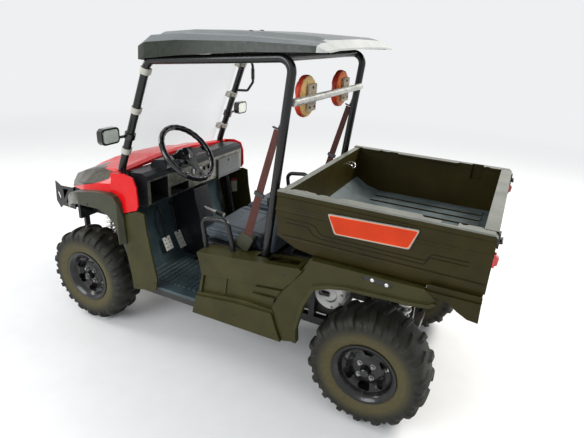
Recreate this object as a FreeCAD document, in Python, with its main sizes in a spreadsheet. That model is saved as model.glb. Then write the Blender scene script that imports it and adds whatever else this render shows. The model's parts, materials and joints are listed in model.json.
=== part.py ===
import FreeCAD, Part
import math
import os

import Sketcher
from FreeCAD import Placement, Rotation, Vector

# Side by side utility vehicle with a tipping cargo bed. Millimetres, +Z up, X across with the
# driver at +X, front towards -Y. The origin is on the ground under the middle of its box.

SIZES = (
    # name, millimetres, what it is
    ("front_axle_y", -880, "front axle, along the vehicle"),
    ("wheelbase", 1903, "front axle to rear axle"),
    ("axle_z", 318, "axle height"),
    ("tyre_radius", 318, "tyre to the tips of its lugs"),
    ("lug_height", 15, "lug above the carcass"),
    ("lug_root", 46, "lug below the crown, where it comes down the shoulder"),
    ("lug_count", 18, "lugs in one row round a tyre"),
    ("front_wheel_x", 511, "middle of the front tyre, across"),
    ("rear_wheel_x", 491, "middle of the rear tyre, across"),
    ("front_tyre_width", 203, "front tyre over its shoulders"),
    ("rear_tyre_width", 254, "rear tyre over its shoulders"),
    ("rim_lip_radius", 167, "rim at its lip"),
    ("rim_seat_radius", 152, "rim where the tyre sits"),
    ("rim_inset", 8, "rim lip inside the tyre's side"),
    ("hub_face_x", 556, "inner face of the wheel disc, across"),
    ("disc_wall", 6, "wheel disc wall"),
    ("hub_radius", 46, "hub flange"),
    ("running_gap", 0.3, "gap between faces that turn on each other"),
    ("spoke_windows", 6, "openings round the wheel disc"),
    ("rail_x", 200, "middle of a main rail, across"),
    ("rail_width", 44, "main rail width"),
    ("rail_height", 50, "main rail height"),
    ("rail_z", 240, "underside of the main rails"),
    ("frame_front_y", -1290, "front end of the main rails"),
    ("rail_overhang", 150, "rear axle to the rear end of the main rails"),
    ("deck_overhang", 417, "rear axle to the rear end of the deck rails"),
    ("tower_z", 720, "top of the suspension towers"),
    ("kingpin_x", 455, "steering axis, across"),
    ("steer_arm_reach", 94, "steering arm behind the kingpin"),
    ("arm_low_z", 214, "lower arm at the wheel"),
    ("arm_high_z", 412, "upper arm at the wheel"),
    ("arm_tube", 13, "suspension arm tube radius"),
    ("shock_radius", 21, "damper body radius"),
    ("coil_radius", 37, "coil over the damper, outer radius"),
    ("coil_wire", 6.5, "coil wire radius"),
    ("floor_z", 360, "underside of the cab floor"),
    ("floor_wall", 20, "cab floor thickness"),
    ("floor_half", 560, "cab floor, half its width"),
    ("floor_rear_y", -22, "rear edge of the cab floor"),
    ("toe_y", -500, "foot of the toe board"),
    ("firewall_y", -600, "firewall"),
    ("skin", 10, "moulded panel wall"),
    ("body_half", 575, "outer face of the body sides, half width"),
    ("dash_rear_y", -392, "dash towards the seats"),
    ("dash_top_z", 1072, "top of the dash"),
    ("dash_low_z", 868, "underside of the dash"),
    ("dash_half", 508, "dash, half its width"),
    ("glovebox_width", 270, "glovebox lid width"),
    ("glovebox_height", 128, "glovebox lid height"),
    ("lid_wall", 14, "glovebox lid thickness"),
    ("lid_pin", 2.5, "glovebox hinge pin radius"),
    ("column_x", 262, "steering column, across"),
    ("wheel_y", -287, "middle of the steering wheel, along"),
    ("wheel_z", 1174, "middle of the steering wheel, up"),
    ("wheel_tilt", 42, "steering column above level, in degrees"),
    ("wheel_radius", 180, "steering wheel to the middle of its grip"),
    ("grip_radius", 15, "steering wheel grip radius"),
    ("seat_front_y", -62, "front edge of the seat cushions"),
    ("seat_deck_z", 742, "deck under the cushions"),
    ("seat_deck_wall", 16, "deck and box wall of the seat base"),
    ("cushion_depth", 78, "seat cushion thickness"),
    ("cushion_inner_x", 18, "seat cushion edge by the middle"),
    ("cushion_outer_x", 446, "seat cushion outer edge"),
    ("back_y", 350, "seat backs at the cushions"),
    ("back_top_z", 1105, "top of the seat backs"),
    ("cage_tube", 22, "cage tube radius"),
    ("pillar_x", 503, "front pillar at its foot, across"),
    ("pillar_y", -592, "front pillar at the cowl"),
    ("pillar_z", 1080, "height of the cowl"),
    ("header_x", 486, "front pillar at the header, across"),
    ("header_y", -350, "header, along"),
    ("header_z", 1704, "header, up"),
    ("rear_top_y", 512, "rear hoop at the top, along"),
    ("rear_top_z", 1776, "rear hoop at the top, up"),
    ("rear_mid_y", 440, "rear hoop at the bed rail, along"),
    ("rear_foot_y", 352, "rear hoop at its foot, along"),
    ("bar_radius", 19, "cross bar behind the heads"),
    ("bar_y", 505, "cross bar, along"),
    ("bar_z", 1577, "cross bar, up"),
    ("headrest_x", 245, "head pad, across"),
    ("headrest_width", 200, "head pad width"),
    ("headrest_height", 232, "head pad height"),
    ("headrest_depth", 48, "head pad thickness"),
    ("roof_front_y", -408, "front lip of the roof"),
    ("roof_wall", 9, "roof wall"),
    ("glass_wall", 5, "windscreen thickness"),
    ("mirror_x", 660, "mirror head, across"),
    ("mirror_y", -492, "mirror head, along"),
    ("mirror_z", 1313, "mirror head, up"),
    ("bed_half", 580, "cargo bed over its sides, half width"),
    ("bed_lead", 534, "front of the cargo bed to the rear axle"),
    ("bed_length", 990, "cargo bed length"),
    ("bed_low_z", 877, "underside of the cargo bed"),
    ("bed_rail_z", 1178, "top of the bed rails"),
    ("bed_wall", 42, "double wall of the bed sides"),
    ("bed_floor_wall", 24, "bed floor thickness"),
    ("tailgate_wall", 58, "tailgate thickness"),
    ("tailgate_gap", 6, "gap round the tailgate"),
    ("hinge_inset", 43, "bed hinge pin to the rear of the bed"),
    ("bed_hinge_z", 859, "bed hinge pin, up"),
    ("hinge_pin", 9, "hinge pin radius"),
    ("rocker_relief", 28, "how far the rocker's upper band stands out"),
    ("flare_half", 616, "outer face of the wheel arch flares"),
    ("hoop_tube", 14, "hip hoop tube radius"),
    ("bumper_x", 292, "bumper side plate, across"),
    ("bumper_front_y", -1476, "front edge of the bumper"),
    ("plate_wall", 7, "steel plate thickness"),
)

doc = FreeCAD.newDocument("side_by_side")


class Size:
    """A length with the sheet formula it came from, so that sums of sizes can drive features."""

    def __init__(self, value, formula):
        self.value = float(value)
        self.formula = formula

    def __float__(self):
        return self.value

    def __add__(self, other):
        return combined(self, "+", other)

    def __radd__(self, other):
        return combined(other, "+", self)

    def __sub__(self, other):
        return combined(self, "-", other)

    def __rsub__(self, other):
        return combined(other, "-", self)

    def __mul__(self, other):
        return combined(self, "*", other)

    def __rmul__(self, other):
        return combined(other, "*", self)

    def __truediv__(self, other):
        return combined(self, "/", other)

    def __rtruediv__(self, other):
        return combined(other, "/", self)

    def __neg__(self):
        return combined(0, "-", self)


def as_size(number):
    """Plain numbers become sizes with their own value as the formula."""
    if isinstance(number, Size):
        return number
    return Size(number, f"({float(number)})")


def combined(left, sign, right):
    """Sum, difference, product or quotient of two sizes, in value and in formula."""
    left = as_size(left)
    right = as_size(right)
    results = {"+": lambda: left.value + right.value, "-": lambda: left.value - right.value,
               "*": lambda: left.value * right.value, "/": lambda: left.value / right.value}
    return Size(results[sign](), f"({left.formula} {sign} {right.formula})")


class Sizes:
    """Named sizes, read from the sheet, and places worked out from them."""


def read_sheet():
    """Write the driving sizes to the spreadsheet, and read them back as named sizes."""
    table = doc.addObject("Spreadsheet::Sheet", "Dims")
    for row, (name, value, note) in enumerate(SIZES, start=1):
        table.set(f"A{row}", name)
        table.set(f"B{row}", str(value))
        table.set(f"C{row}", note)
        table.setAlias(f"B{row}", name)
    doc.recompute()
    sizes = Sizes()
    for name, _, _ in SIZES:
        setattr(sizes, name, Size(table.get(name), f"Dims.{name}"))
    return sizes


d = read_sheet()
rear_axle_y = d.front_axle_y + d.wheelbase
d.rail_rear_y = rear_axle_y + d.rail_overhang
d.frame_rear_y = rear_axle_y + d.deck_overhang
d.bed_front_y = rear_axle_y - d.bed_lead
d.bed_rear_y = d.bed_front_y + d.bed_length
d.bed_hinge_y = d.bed_rear_y - d.hinge_inset
NODES = {}


def node(name, item):
    """Give a finished object the name of its sub-part."""
    item.Label = name
    NODES[name] = item
    return item


# Building blocks

PLANES = {"XY": ("XY_Plane", 1), "XZ": ("XZ_Plane", -1), "YZ": ("YZ_Plane", 1)}


def origin_feature(body, role):
    """One of a body's own origin planes or axes."""
    return next(item for item in body.Origin.OriginFeatures if item.Role == role)


def outline_sketch(body, plane, height, outlines):
    """Sketch of closed outlines on an origin plane, at a height along the plane's own row axis.

    Every corner is held by two distances from the origin, each tied to its size.
    """
    role, sign = PLANES[plane]
    sketch = body.newObject("Sketcher::SketchObject", body.Name + "_outline")
    sketch.AttachmentSupport = [(origin_feature(body, role), "")]
    sketch.MapMode = "FlatFace"
    sketch.setExpression("AttachmentOffset.Base.z", (as_size(height) * sign).formula)
    for corners in outlines:
        first = sketch.GeometryCount
        count = len(corners)
        for index, (u, v) in enumerate(corners):
            end = corners[(index + 1) % count]
            sketch.addGeometry(Part.LineSegment(point(u, v, 0), point(end[0], end[1], 0)), False)
        joins = [Sketcher.Constraint("Coincident", first + i, 2, first + (i + 1) % count, 1)
                 for i in range(count)]
        sketch.addConstraint(joins)
        for index, corner in enumerate(corners):
            for kind, size in zip(("DistanceX", "DistanceY"), corner):
                rule = sketch.addConstraint(
                    Sketcher.Constraint(kind, -1, 1, first + index, 1, float(size)))
                if isinstance(size, Size):
                    sketch.setExpression(f"Constraints[{rule}]", size.formula)
    return sketch


def pad(body, sketch, depth, reverse=False):
    """Pad a sketch by a bound length."""
    feature = body.newObject("PartDesign::Pad", body.Name + "_pad")
    feature.Profile = sketch
    feature.Reversed = reverse
    feature.setExpression("Length", as_size(depth).formula)
    return feature


def pocket(body, sketch, depth, reverse=False):
    """Cut a sketch into the body by a bound depth."""
    feature = body.newObject("PartDesign::Pocket", body.Name + "_pocket")
    feature.Profile = sketch
    feature.Reversed = reverse
    feature.setExpression("Length", as_size(depth).formula)
    return feature


def panel(name, plane, corners, start, depth, windows=()):
    """Body padded from one outline, from start by depth along the axis across its plane."""
    body = doc.addObject("PartDesign::Body", name)
    sketch = outline_sketch(body, plane, start, [corners, *windows])
    pad(body, sketch, depth, reverse=PLANES[plane][1] < 0)
    return body


def block(name, low, high):
    """Rectangular block between two corners."""
    item = doc.addObject("Part::Box", name)
    for side, axis, near, far in zip(("Length", "Width", "Height"), "xyz", low, high):
        item.setExpression(side, (as_size(far) - near).formula)
        item.setExpression(f"Placement.Base.{axis}", as_size(near).formula)
    return item


TURNS = {"X": Rotation(Vector(0, 1, 0), 90), "Y": Rotation(Vector(1, 0, 0), -90), "Z": Rotation()}


def rod(name, base, axis, length, radius):
    """Round bar from a point along +X, +Y or +Z."""
    item = doc.addObject("Part::Cylinder", name)
    item.Placement = Placement(point(*base), TURNS[axis])
    item.setExpression("Radius", as_size(radius).formula)
    item.setExpression("Height", as_size(length).formula)
    for letter, size in zip("xyz", base):
        item.setExpression(f"Placement.Base.{letter}", as_size(size).formula)
    return item


def joined(name, items):
    """One solid made of overlapping pieces."""
    item = doc.addObject("Part::MultiFuse", name)
    item.Shapes = items
    return item


def less(name, base, tool):
    """Base with the tool cut out of it."""
    item = doc.addObject("Part::Cut", name)
    item.Base = base
    item.Tool = tool
    return item


def meet(name, first, second):
    """What two solids have in common."""
    item = doc.addObject("Part::MultiCommon", name)
    item.Shapes = [first, second]
    return item


def group(name, items):
    """Separate solids of one sub-part, kept apart."""
    item = doc.addObject("Part::Compound", name)
    item.Links = items
    return item


def mirrored(item):
    """The same piece on the other side of the vehicle."""
    twin = doc.addObject("Part::Mirroring", item.Name + "_right")
    twin.Source = item
    twin.Normal = Vector(1, 0, 0)
    return twin


def pair(name, item):
    """A piece and its mirror image as one sub-part."""
    return group(name, [item, mirrored(item)])


def solid(name, shape):
    """Object whose shape is worked out here from the sheet's sizes."""
    item = doc.addObject("Part::Feature", name)
    item.Shape = shape
    return item


def point(x, y, z):
    return Vector(float(x), float(y), float(z))


def straight_tube(start, end, radius):
    """Round bar between two points."""
    run = end - start
    return Part.makeCylinder(float(radius), run.Length, start, run)


def bent_tube(points, radius, bend):
    """Round bar along straight runs joined by arcs, the bend radius measured on its middle line."""
    edges = []
    start = points[0]
    for before, corner, after in zip(points, points[1:], points[2:]):
        back = (before - corner).normalize()
        ahead = (after - corner).normalize()
        half = back.getAngle(ahead) / 2
        reach = bend / math.tan(half)
        first = corner + back * reach
        last = corner + ahead * reach
        middle = corner + (back + ahead).normalize() * (bend / math.sin(half) - bend)
        edges.append(Part.LineSegment(start, first).toShape())
        edges.append(Part.Arc(first, middle, last).toShape())
        start = last
    edges.append(Part.LineSegment(start, points[-1]).toShape())
    ring = Part.Wire(Part.Circle(points[0], points[1] - points[0], float(radius)).toShape())
    return Part.Wire(edges).makePipeShell([ring], True, True)


def polygon(points):
    return Part.makePolygon([*points, points[0]])


def prism(points, run):
    """Solid swept straight from a closed outline."""
    return Part.Face(polygon(points)).extrude(run)


def fuse_all(shapes):
    """One solid of overlapping shapes, with flat faces merged where that works."""
    whole = shapes[0].multiFuse(shapes[1:])
    merged = whole.removeSplitter()
    if merged.isNull() or not merged.isValid():
        return whole
    return merged


def mirror_x(shape):
    return shape.mirror(Vector(0, 0, 0), Vector(1, 0, 0))


def both_sides(shape):
    return Part.makeCompound([shape, mirror_x(shape)])


def turned(name, profile, place):
    """Body turned about its own X axis from corners of (along the axis, radius)."""
    body = doc.addObject("PartDesign::Body", name)
    sketch = outline_sketch(body, "XZ", 0, [profile])
    feature = body.newObject("PartDesign::Revolution", name + "_turn")
    feature.Profile = sketch
    feature.ReferenceAxis = (origin_feature(body, "X_Axis"), [""])
    feature.Angle = 360
    place_on_axle(body, place)
    return body


def place_on_axle(body, place):
    """Body put at a corner of the vehicle, turned round on the right side."""
    body.Placement = Placement(point(*place), Rotation(Vector(0, 0, 1), 180 if float(place[0]) < 0 else 0))
    for letter, size in zip("xyz", place):
        body.setExpression(f"Placement.Base.{letter}", as_size(size).formula)


# Wheels

def tyre_sections(width):
    """Corners of a tyre's section, as across and radius: bead, bulged side and crown, left and right."""
    half = width / 2
    seat = d.rim_seat_radius + d.running_gap
    lip = d.rim_lip_radius
    right = [(half - 26, seat), (half - 26, lip - 9), (half - 5, lip + 68),
             (half - 36, d.tyre_radius - d.lug_height)]
    return [(0 - across, radius) for across, radius in right] + right[::-1]


def flat_ring(across, radius, count):
    """Corners round the axle of a many-sided ring whose flats lie at the radius, one at the top."""
    reach = float(radius) / math.cos(math.pi / count)
    turns = [2 * math.pi * (index + 0.5) / count for index in range(count)]
    return [point(across, reach * math.sin(turn), reach * math.cos(turn)) for turn in turns]


def make_carcass(name, width, place):
    """Tyre under its lugs: flat faces from ring to ring of its section, one flat to a lug."""
    count = 2 * int(float(d.lug_count))
    rings = [flat_ring(across, radius, count) for across, radius in tyre_sections(width)]
    faces = []
    for ring, following in zip(rings, rings[1:] + rings[:1]):
        for index in range(count):
            after = (index + 1) % count
            corners = [ring[index], ring[after], following[after], following[index]]
            faces.append(Part.Face(polygon(corners)))
    shell = Part.makeShell(faces)
    shell.sewShape()
    closed = Part.makeSolid(shell)
    if closed.Volume < 0:
        closed.reverse()
    body = doc.addObject("PartDesign::Body", name)
    body.BaseFeature = solid(name + "_carcass", closed)
    place_on_axle(body, place)
    return body


def add_lugs(body, width):
    """Two rows of slanted lugs, the second half a pitch on, patterned round the axle."""
    half = width / 2
    crown = d.tyre_radius - d.lug_height
    pitch = 360 / d.lug_count
    rows = ((1, 0.0), (-1, 0.5))
    # columns: across from the middle plane (share of the half width), along the crown (mm)
    lug = ((0.04, -22), (0.93, -4), (0.93, 22), (0.04, -2))
    tips = []
    for side, shift in rows:
        corners = [(half * (side * share), along) for share, along in lug]
        sketch = body.newObject("Sketcher::SketchObject", body.Name + "_lug_outline")
        sketch.AttachmentSupport = [(origin_feature(body, "XY_Plane"), "")]
        sketch.MapMode = "FlatFace"
        lift = crown - d.lug_root
        turn = Rotation(Vector(1, 0, 0), float(pitch * shift))
        sketch.AttachmentOffset = Placement(turn.multVec(point(0, 0, lift)), turn)
        for index, (u, v) in enumerate(corners):
            end = corners[(index + 1) % len(corners)]
            sketch.addGeometry(Part.LineSegment(point(u, v, 0), point(end[0], end[1], 0)), False)
        feature = pad(body, sketch, d.lug_height + d.lug_root)
        ring = body.newObject("PartDesign::PolarPattern", body.Name + "_lugs")
        ring.Originals = [feature]
        ring.Axis = (origin_feature(body, "X_Axis"), [""])
        ring.Angle = 360
        ring.setExpression("Occurrences", d.lug_count.formula)
        body.Tip = ring
        tips.append(ring)
    return tips


def rim_profile(width, wheel_x):
    """Half section of a stepped steel wheel: lips, bead seats, drop centre and dished disc."""
    half = width / 2 - d.rim_inset
    face = d.hub_face_x - wheel_x
    seat = d.rim_seat_radius
    lip = d.rim_lip_radius
    wall = d.disc_wall
    drop = seat - 16
    return [
        (half, lip), (half - 7, lip), (half - 11, seat), (half - 28, seat), (half - 40, drop),
        (28 - half, drop), (22 - half, seat), (11 - half, seat), (7 - half, lip), (-half, lip),
        (-half, seat - wall), (22 - half, drop - wall), (face, drop - wall), (face + 4, 100),
        (face - 14, 86), (face, 70), (face, 0), (face + 34, 0), (face + 34, 24),
        (face + wall + 4, 30), (face + wall, 64), (face + wall - 14, 92), (face + wall + 4, 106),
        (face + wall + 8, drop - wall - 4), (half - 12, seat - wall - 6), (half, lip - 12),
    ]


def cut_spoke_windows(body, face):
    """Rounded openings through the dished part of the wheel disc."""
    # columns: across the spoke gap, out from the axle
    window = ((-18, 80), (18, 80), (30, 96), (33, 112), (22, 122), (-22, 122), (-33, 112), (-30, 96))
    sketch = outline_sketch(body, "YZ", face - 30, [window])
    feature = pocket(body, sketch, 70, reverse=True)
    ring = body.newObject("PartDesign::PolarPattern", body.Name + "_windows")
    ring.Originals = [feature]
    ring.Axis = (origin_feature(body, "X_Axis"), [""])
    ring.Angle = 360
    ring.setExpression("Occurrences", d.spoke_windows.formula)
    body.Tip = ring


def make_wheel(corner, side, wheel_x, axle_y, width):
    """Tyre and rim of one corner; side is 1 on the left and -1 on the right."""
    place = (wheel_x * side, axle_y, d.axle_z)
    tyre = make_carcass("tyre_" + corner, width, place)
    add_lugs(tyre, width)
    rim = turned("rim_" + corner, rim_profile(width, wheel_x), place)
    cut_spoke_windows(rim, d.hub_face_x - wheel_x)
    node("tyre_" + corner, tyre)
    node("rim_" + corner, rim)


def make_wheels():
    """Four wheels from one table."""
    rows = (
        # corner, side, across, along, tyre width
        ("front_left", 1, d.front_wheel_x, d.front_axle_y, d.front_tyre_width),
        ("front_right", -1, d.front_wheel_x, d.front_axle_y, d.front_tyre_width),
        ("rear_left", 1, d.rear_wheel_x, rear_axle_y, d.rear_tyre_width),
        ("rear_right", -1, d.rear_wheel_x, rear_axle_y, d.rear_tyre_width),
    )
    for row in rows:
        make_wheel(*row)


# Frame and running gear

def frame_boxes():
    """Straight box tubes of the frame on the left side and across, as low and high corners."""
    inner = d.rail_x - d.rail_width / 2
    outer = d.rail_x + d.rail_width / 2
    top = d.rail_z + d.rail_height
    tube = 36
    rear_deck = d.bed_low_z - 36
    posts = (
        # along, height
        (d.front_axle_y - 108, d.tower_z),
        (d.front_axle_y + 40, d.tower_z),
        (rear_axle_y - 136, rear_deck),
        (rear_axle_y + 100, rear_deck),
        (d.bed_front_y + 60, rear_deck),
    )
    outriggers = (d.toe_y + 30, d.floor_rear_y - 30, d.rear_foot_y - 18)
    deck = d.floor_z - 0.3
    edge = d.floor_half - 20
    side_rows = [((inner, d.frame_front_y, d.rail_z), (outer, d.rail_rear_y, top))]
    side_rows += [((inner, y, top - 1), (outer, y + tube, high)) for y, high in posts]
    side_rows += [((inner, d.bed_front_y + 20, rear_deck - tube), (outer, d.frame_rear_y, rear_deck))]
    for y, z in ((d.front_axle_y - 94, 696), (rear_axle_y + 124, 806)):
        side_rows.append(((outer - 1, y - 12, z - 14), (outer + 27.7, y + 12, z + 14)))
    side_rows.append(((inner, d.front_axle_y - 76, 452), (outer, d.front_axle_y + 44, 488)))
    side_rows.append(((inner, rear_axle_y - 104, 452), (outer, rear_axle_y + 104, 488)))
    side_rows.append(((edge - 1, d.rear_foot_y - 18, deck - 40),
                      (d.body_half - 0.3, d.rear_foot_y + 18, deck)))
    for y in outriggers:
        side_rows.append(((inner, y, top - 1), (outer, y + tube, deck)))
        side_rows.append(((outer - 1, y, deck - 40), (edge, y + tube, deck)))
    side_rows.append(((edge - tube, d.toe_y + 30, deck - 40), (edge, d.rear_foot_y + 18, deck)))
    across = [
        (d.frame_front_y, d.rail_z, top),
        (d.front_axle_y - 108, d.tower_z - tube, d.tower_z),
        (d.front_axle_y + 40, d.tower_z - tube, d.tower_z),
        (d.toe_y + 30, d.rail_z + 8, top - 8),
        (d.bed_front_y - 60, d.rail_z + 8, top - 8),
        (rear_axle_y - 380, d.rail_z + 8, top - 8),
        (rear_axle_y - 136, rear_deck - tube, rear_deck),
        (rear_axle_y + 100, rear_deck - tube, rear_deck),
        (d.rail_rear_y - tube, d.rail_z, top),
        (d.frame_rear_y - tube, rear_deck - tube, rear_deck),
    ]
    return side_rows, across, tube


def make_frame():
    """Ladder frame with suspension towers, a raised deck under the bed and floor outriggers."""
    side_rows, across, tube = frame_boxes()
    left = [block(f"frame_box_{i}", low, high) for i, (low, high) in enumerate(side_rows)]
    inner = d.rail_x - d.rail_width / 2
    lugs = []
    for offset in (-22, 22):
        x = d.rail_x + offset - 4
        lugs.append(block(f"hinge_lug_foot_{offset + 22}", (x, d.bed_hinge_y - 13, d.bed_low_z - 38),
                          (x + 8, d.bed_hinge_y + 4, d.bed_hinge_z)))
        lugs.append(rod(f"hinge_lug_{offset + 22}", (x, d.bed_hinge_y, d.bed_hinge_z), "X", 8, 13))
    pin = rod("hinge_pin", (d.rail_x - 30, d.bed_hinge_y, d.bed_hinge_z), "X", 60, d.hinge_pin)
    post_y = rear_axle_y + 100 + tube
    deck = d.bed_low_z - 36 - tube
    run = [(post_y - 4, deck - 236), (post_y - 4, deck - 176), (post_y + 138, deck + 4),
           (post_y + 186, deck + 4)]
    brace = panel("frame_brace", "YZ", run, inner + 9, d.rail_width - 18)
    left_side = joined("frame_left", [*left, *lugs, pin, brace])
    bars = [block(f"frame_cross_{i}", (-(inner + 2), y, low), (inner + 2, y + tube, high))
            for i, (y, low, high) in enumerate(across)]
    node("chassis_frame", joined("chassis_frame", [left_side, mirrored(left_side), *bars]))


def make_engine():
    """Engine and gearbox as one block under the front of the bed, and its silencer behind."""
    rows = [
        (-160, 160, d.bed_front_y - 104, rear_axle_y - 300, d.rail_z + d.rail_height - 7.7, 640),
        (-120, 120, d.bed_front_y - 40, rear_axle_y - 340, 630, 760),
        (-150, -60, rear_axle_y - 310, rear_axle_y - 170, 330, 500),
    ]
    parts = [block(f"engine_{i}", (x0, y0, z0), (x1, y1, z1))
             for i, (x0, x1, y0, y1, z0, z1) in enumerate(rows)]
    node("engine_block", joined("engine_block", parts))


def make_clutch_cover():
    """Round bright cover on the gearbox's left side, with a slot in its face, before the rear wheel."""
    # columns: out from the gearbox, radius
    profile = ((0, 0), (0, 58), (62, 58), (86, 92), (168, 92), (178, 84), (178, 46), (172, 38), (172, 0))
    cover = turned("clutch_cover", profile, (160.3, rear_axle_y - 308, d.axle_z + 222))
    slot = ((-66, -8), (-58, -16), (-8, -16), (0, -8), (0, 8), (-8, 16), (-58, 16), (-66, 8))
    sketch = outline_sketch(cover, "YZ", 150, [slot])
    pocket(cover, sketch, 40, reverse=True)
    node("clutch_cover", cover)


def drive_shape(axle_y, case_half, shaft_end, nose_run):
    """Final drive case slung between the rails, with two half shafts in bellows on the axle line."""
    axis = Vector(1, 0, 0)
    middle = point(0, axle_y, d.axle_z)
    case = Part.makeCylinder(64, 2 * case_half, middle - axis * case_half, axis)
    nose = Part.makeCylinder(26, abs(nose_run), middle - Vector(0, 0, 46), Vector(0, nose_run, 0))
    reach = float(d.rail_x - d.rail_width / 2 - 0.3)
    sling = Part.makeBox(2 * reach, 40, 30, Vector(-reach, middle.y - 20, float(d.rail_z) + 12))
    shaft = Part.makeCylinder(13, 2 * shaft_end, middle - axis * shaft_end, axis)
    bellows = []
    for side in (-1, 1):
        start = middle + axis * (side * (case_half - 2))
        bellows.append(Part.makeCone(36, 19, 62, start, axis * side))
        outer = middle + axis * (side * (shaft_end - 38))
        bellows.append(Part.makeCone(34, 18, 58, outer, axis * -side))
    return fuse_all([case, nose, sling, shaft, *bellows])


def make_drives():
    """Front and rear final drives with their half shafts."""
    front_end = float(d.kingpin_x) - 14
    node("front_drive", solid("front_drive", drive_shape(d.front_axle_y, 96, front_end, 150)))
    rear_end = float(d.kingpin_x) - 14
    node("rear_drive", solid("rear_drive", drive_shape(rear_axle_y, 106, rear_end, -150)))


def wishbone(axle_y, inner_x, inner_z, outer_z, spread):
    """Two tubes from the frame that meet at the wheel, a bush at each inner end, a tie between."""
    radius = float(d.arm_tube)
    ball = point(d.kingpin_x, axle_y, outer_z)
    knee = ball - Vector(44, 0, 0)
    parts = [Part.makeCylinder(17, 26, ball - Vector(0, 0, 13)),
             Part.makeBox(46, 30, 20, knee - Vector(2, 15, 10))]
    feet = [point(inner_x, float(axle_y) + side * spread, inner_z) for side in (-1, 1)]
    for foot in feet:
        parts.append(straight_tube(foot, knee, radius))
        parts.append(Part.makeCylinder(18, 44, foot - Vector(0, 22, 0), Vector(0, 1, 0)))
    near = [foot + (knee - foot) * 0.45 for foot in feet]
    parts.append(straight_tube(near[0], near[1], radius * 0.8))
    return fuse_all(parts)


def make_arms():
    """Upper and lower wishbones on both sides of each axle."""
    bush_x = d.rail_x + d.rail_width / 2 + 18.4
    mid_rail = d.rail_z + d.rail_height / 2
    rows = (
        # name, axle, spread of the inner bushes below and above
        ("front_arms", d.front_axle_y, 98, 30),
        ("rear_arms", rear_axle_y, 118, 40),
    )
    for name, axle_y, low_spread, high_spread in rows:
        low = wishbone(axle_y, bush_x, mid_rail, d.arm_low_z, low_spread)
        high = wishbone(axle_y, bush_x, 470, d.arm_high_z, high_spread)
        shapes = [low, high, mirror_x(low), mirror_x(high)]
        node(name, solid(name, Part.makeCompound(shapes)))


def damper(low, high):
    """Coil over damper turned in one piece, its coil as a row of ridges, with an eye at each end."""
    run = high - low
    length = run.Length
    along = Vector(run).normalize()
    across = along.cross(Vector(0, 1, 0)).normalize()
    body = float(d.shock_radius)
    coil = float(d.coil_radius)
    core = coil - 2 * float(d.coil_wire)
    turns = 8
    foot = 0.28 * length
    pitch = 0.62 * length / turns
    # columns: along the damper, radius
    profile = [(0, 0), (0, 9), (20, 9), (20, body), (foot - 8, body), (foot - 8, coil), (foot, coil)]
    for index in range(turns):
        start = foot + pitch * index
        profile += [(start + 0.01, core), (start + pitch * 0.3, coil - 1), (start + pitch * 0.7, coil - 1)]
    end = foot + pitch * turns
    profile += [(end, core), (end, coil), (end + 8, coil), (end + 8, 9), (length, 9), (length, 0)]
    corners = [low + along * place + across * radius for place, radius in profile]
    shape = Part.Face(polygon(corners)).revolve(low, along, 360)
    eyes = [Part.makeCylinder(16, 34, eye - Vector(0, 17, 0), Vector(0, 1, 0)) for eye in (low, high)]
    return fuse_all([Part.Solid(shape) if shape.ShapeType != "Solid" else shape, *eyes])


def make_dampers():
    """Front dampers behind the axle line, rear ones likewise, clear of the half shafts."""
    rows = (
        # foot along, head along, head height
        (d.front_axle_y - 60, d.front_axle_y - 94, 696),
        (rear_axle_y + 66, rear_axle_y + 124, 806),
    )
    head_x = d.rail_x + d.rail_width / 2 + 44
    shapes = []
    for foot_y, head_y, head_z in rows:
        shape = damper(point(317, foot_y, 273), point(head_x, head_y, head_z))
        shapes += [shape, mirror_x(shape)]
    node("dampers", solid("dampers", Part.makeCompound(shapes)))


def hub_shape(axle_y, ball_gap):
    """Upright with a hub that carries the wheel disc, left side."""
    face = float(d.hub_face_x) - float(d.running_gap)
    low = float(d.arm_low_z) + ball_gap
    high = float(d.arm_high_z) - ball_gap
    x = float(d.kingpin_x)
    y = float(axle_y)
    centre = Vector(x, y, float(d.axle_z))
    upright = Part.makeBox(30, 52, high - low, Vector(x - 15, y - 26, low))
    bearing = Part.makeCylinder(52, 52, centre - Vector(22, 0, 0), Vector(1, 0, 0))
    hub = Part.makeCylinder(30, face - x, centre, Vector(1, 0, 0))
    flange = Part.makeCylinder(float(d.hub_radius), 10, Vector(face - 10, y, centre.z), Vector(1, 0, 0))
    disc = Part.makeCylinder(98, 6, Vector(face - 44, y, centre.z), Vector(1, 0, 0))
    bore = Part.makeCylinder(36, 60, centre - Vector(62, 0, 0), Vector(1, 0, 0))
    return fuse_all([upright, bearing, hub, flange, disc]).cut(bore)


def make_hubs():
    """Steered knuckles in front, with arms for the tie rods, and fixed carriers behind."""
    shape = hub_shape(d.front_axle_y, 13.5)
    reach = float(d.steer_arm_reach)
    x = float(d.kingpin_x)
    y = float(d.front_axle_y)
    z = float(d.axle_z) - 16
    arm = prism([Vector(x - 12, y + 20, z), Vector(x + 10, y + 20, z), Vector(x + 4, y + reach + 12, z),
                 Vector(x - 20, y + reach + 14, z), Vector(x - 24, y + reach - 10, z)], Vector(0, 0, 10))
    left = fuse_all([shape, arm])
    node("knuckle_left", solid("knuckle_left", left))
    node("knuckle_right", solid("knuckle_right", mirror_x(left)))
    rear = hub_shape(rear_axle_y, 13.5)
    node("rear_carriers", solid("rear_carriers", both_sides(rear)))


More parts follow.
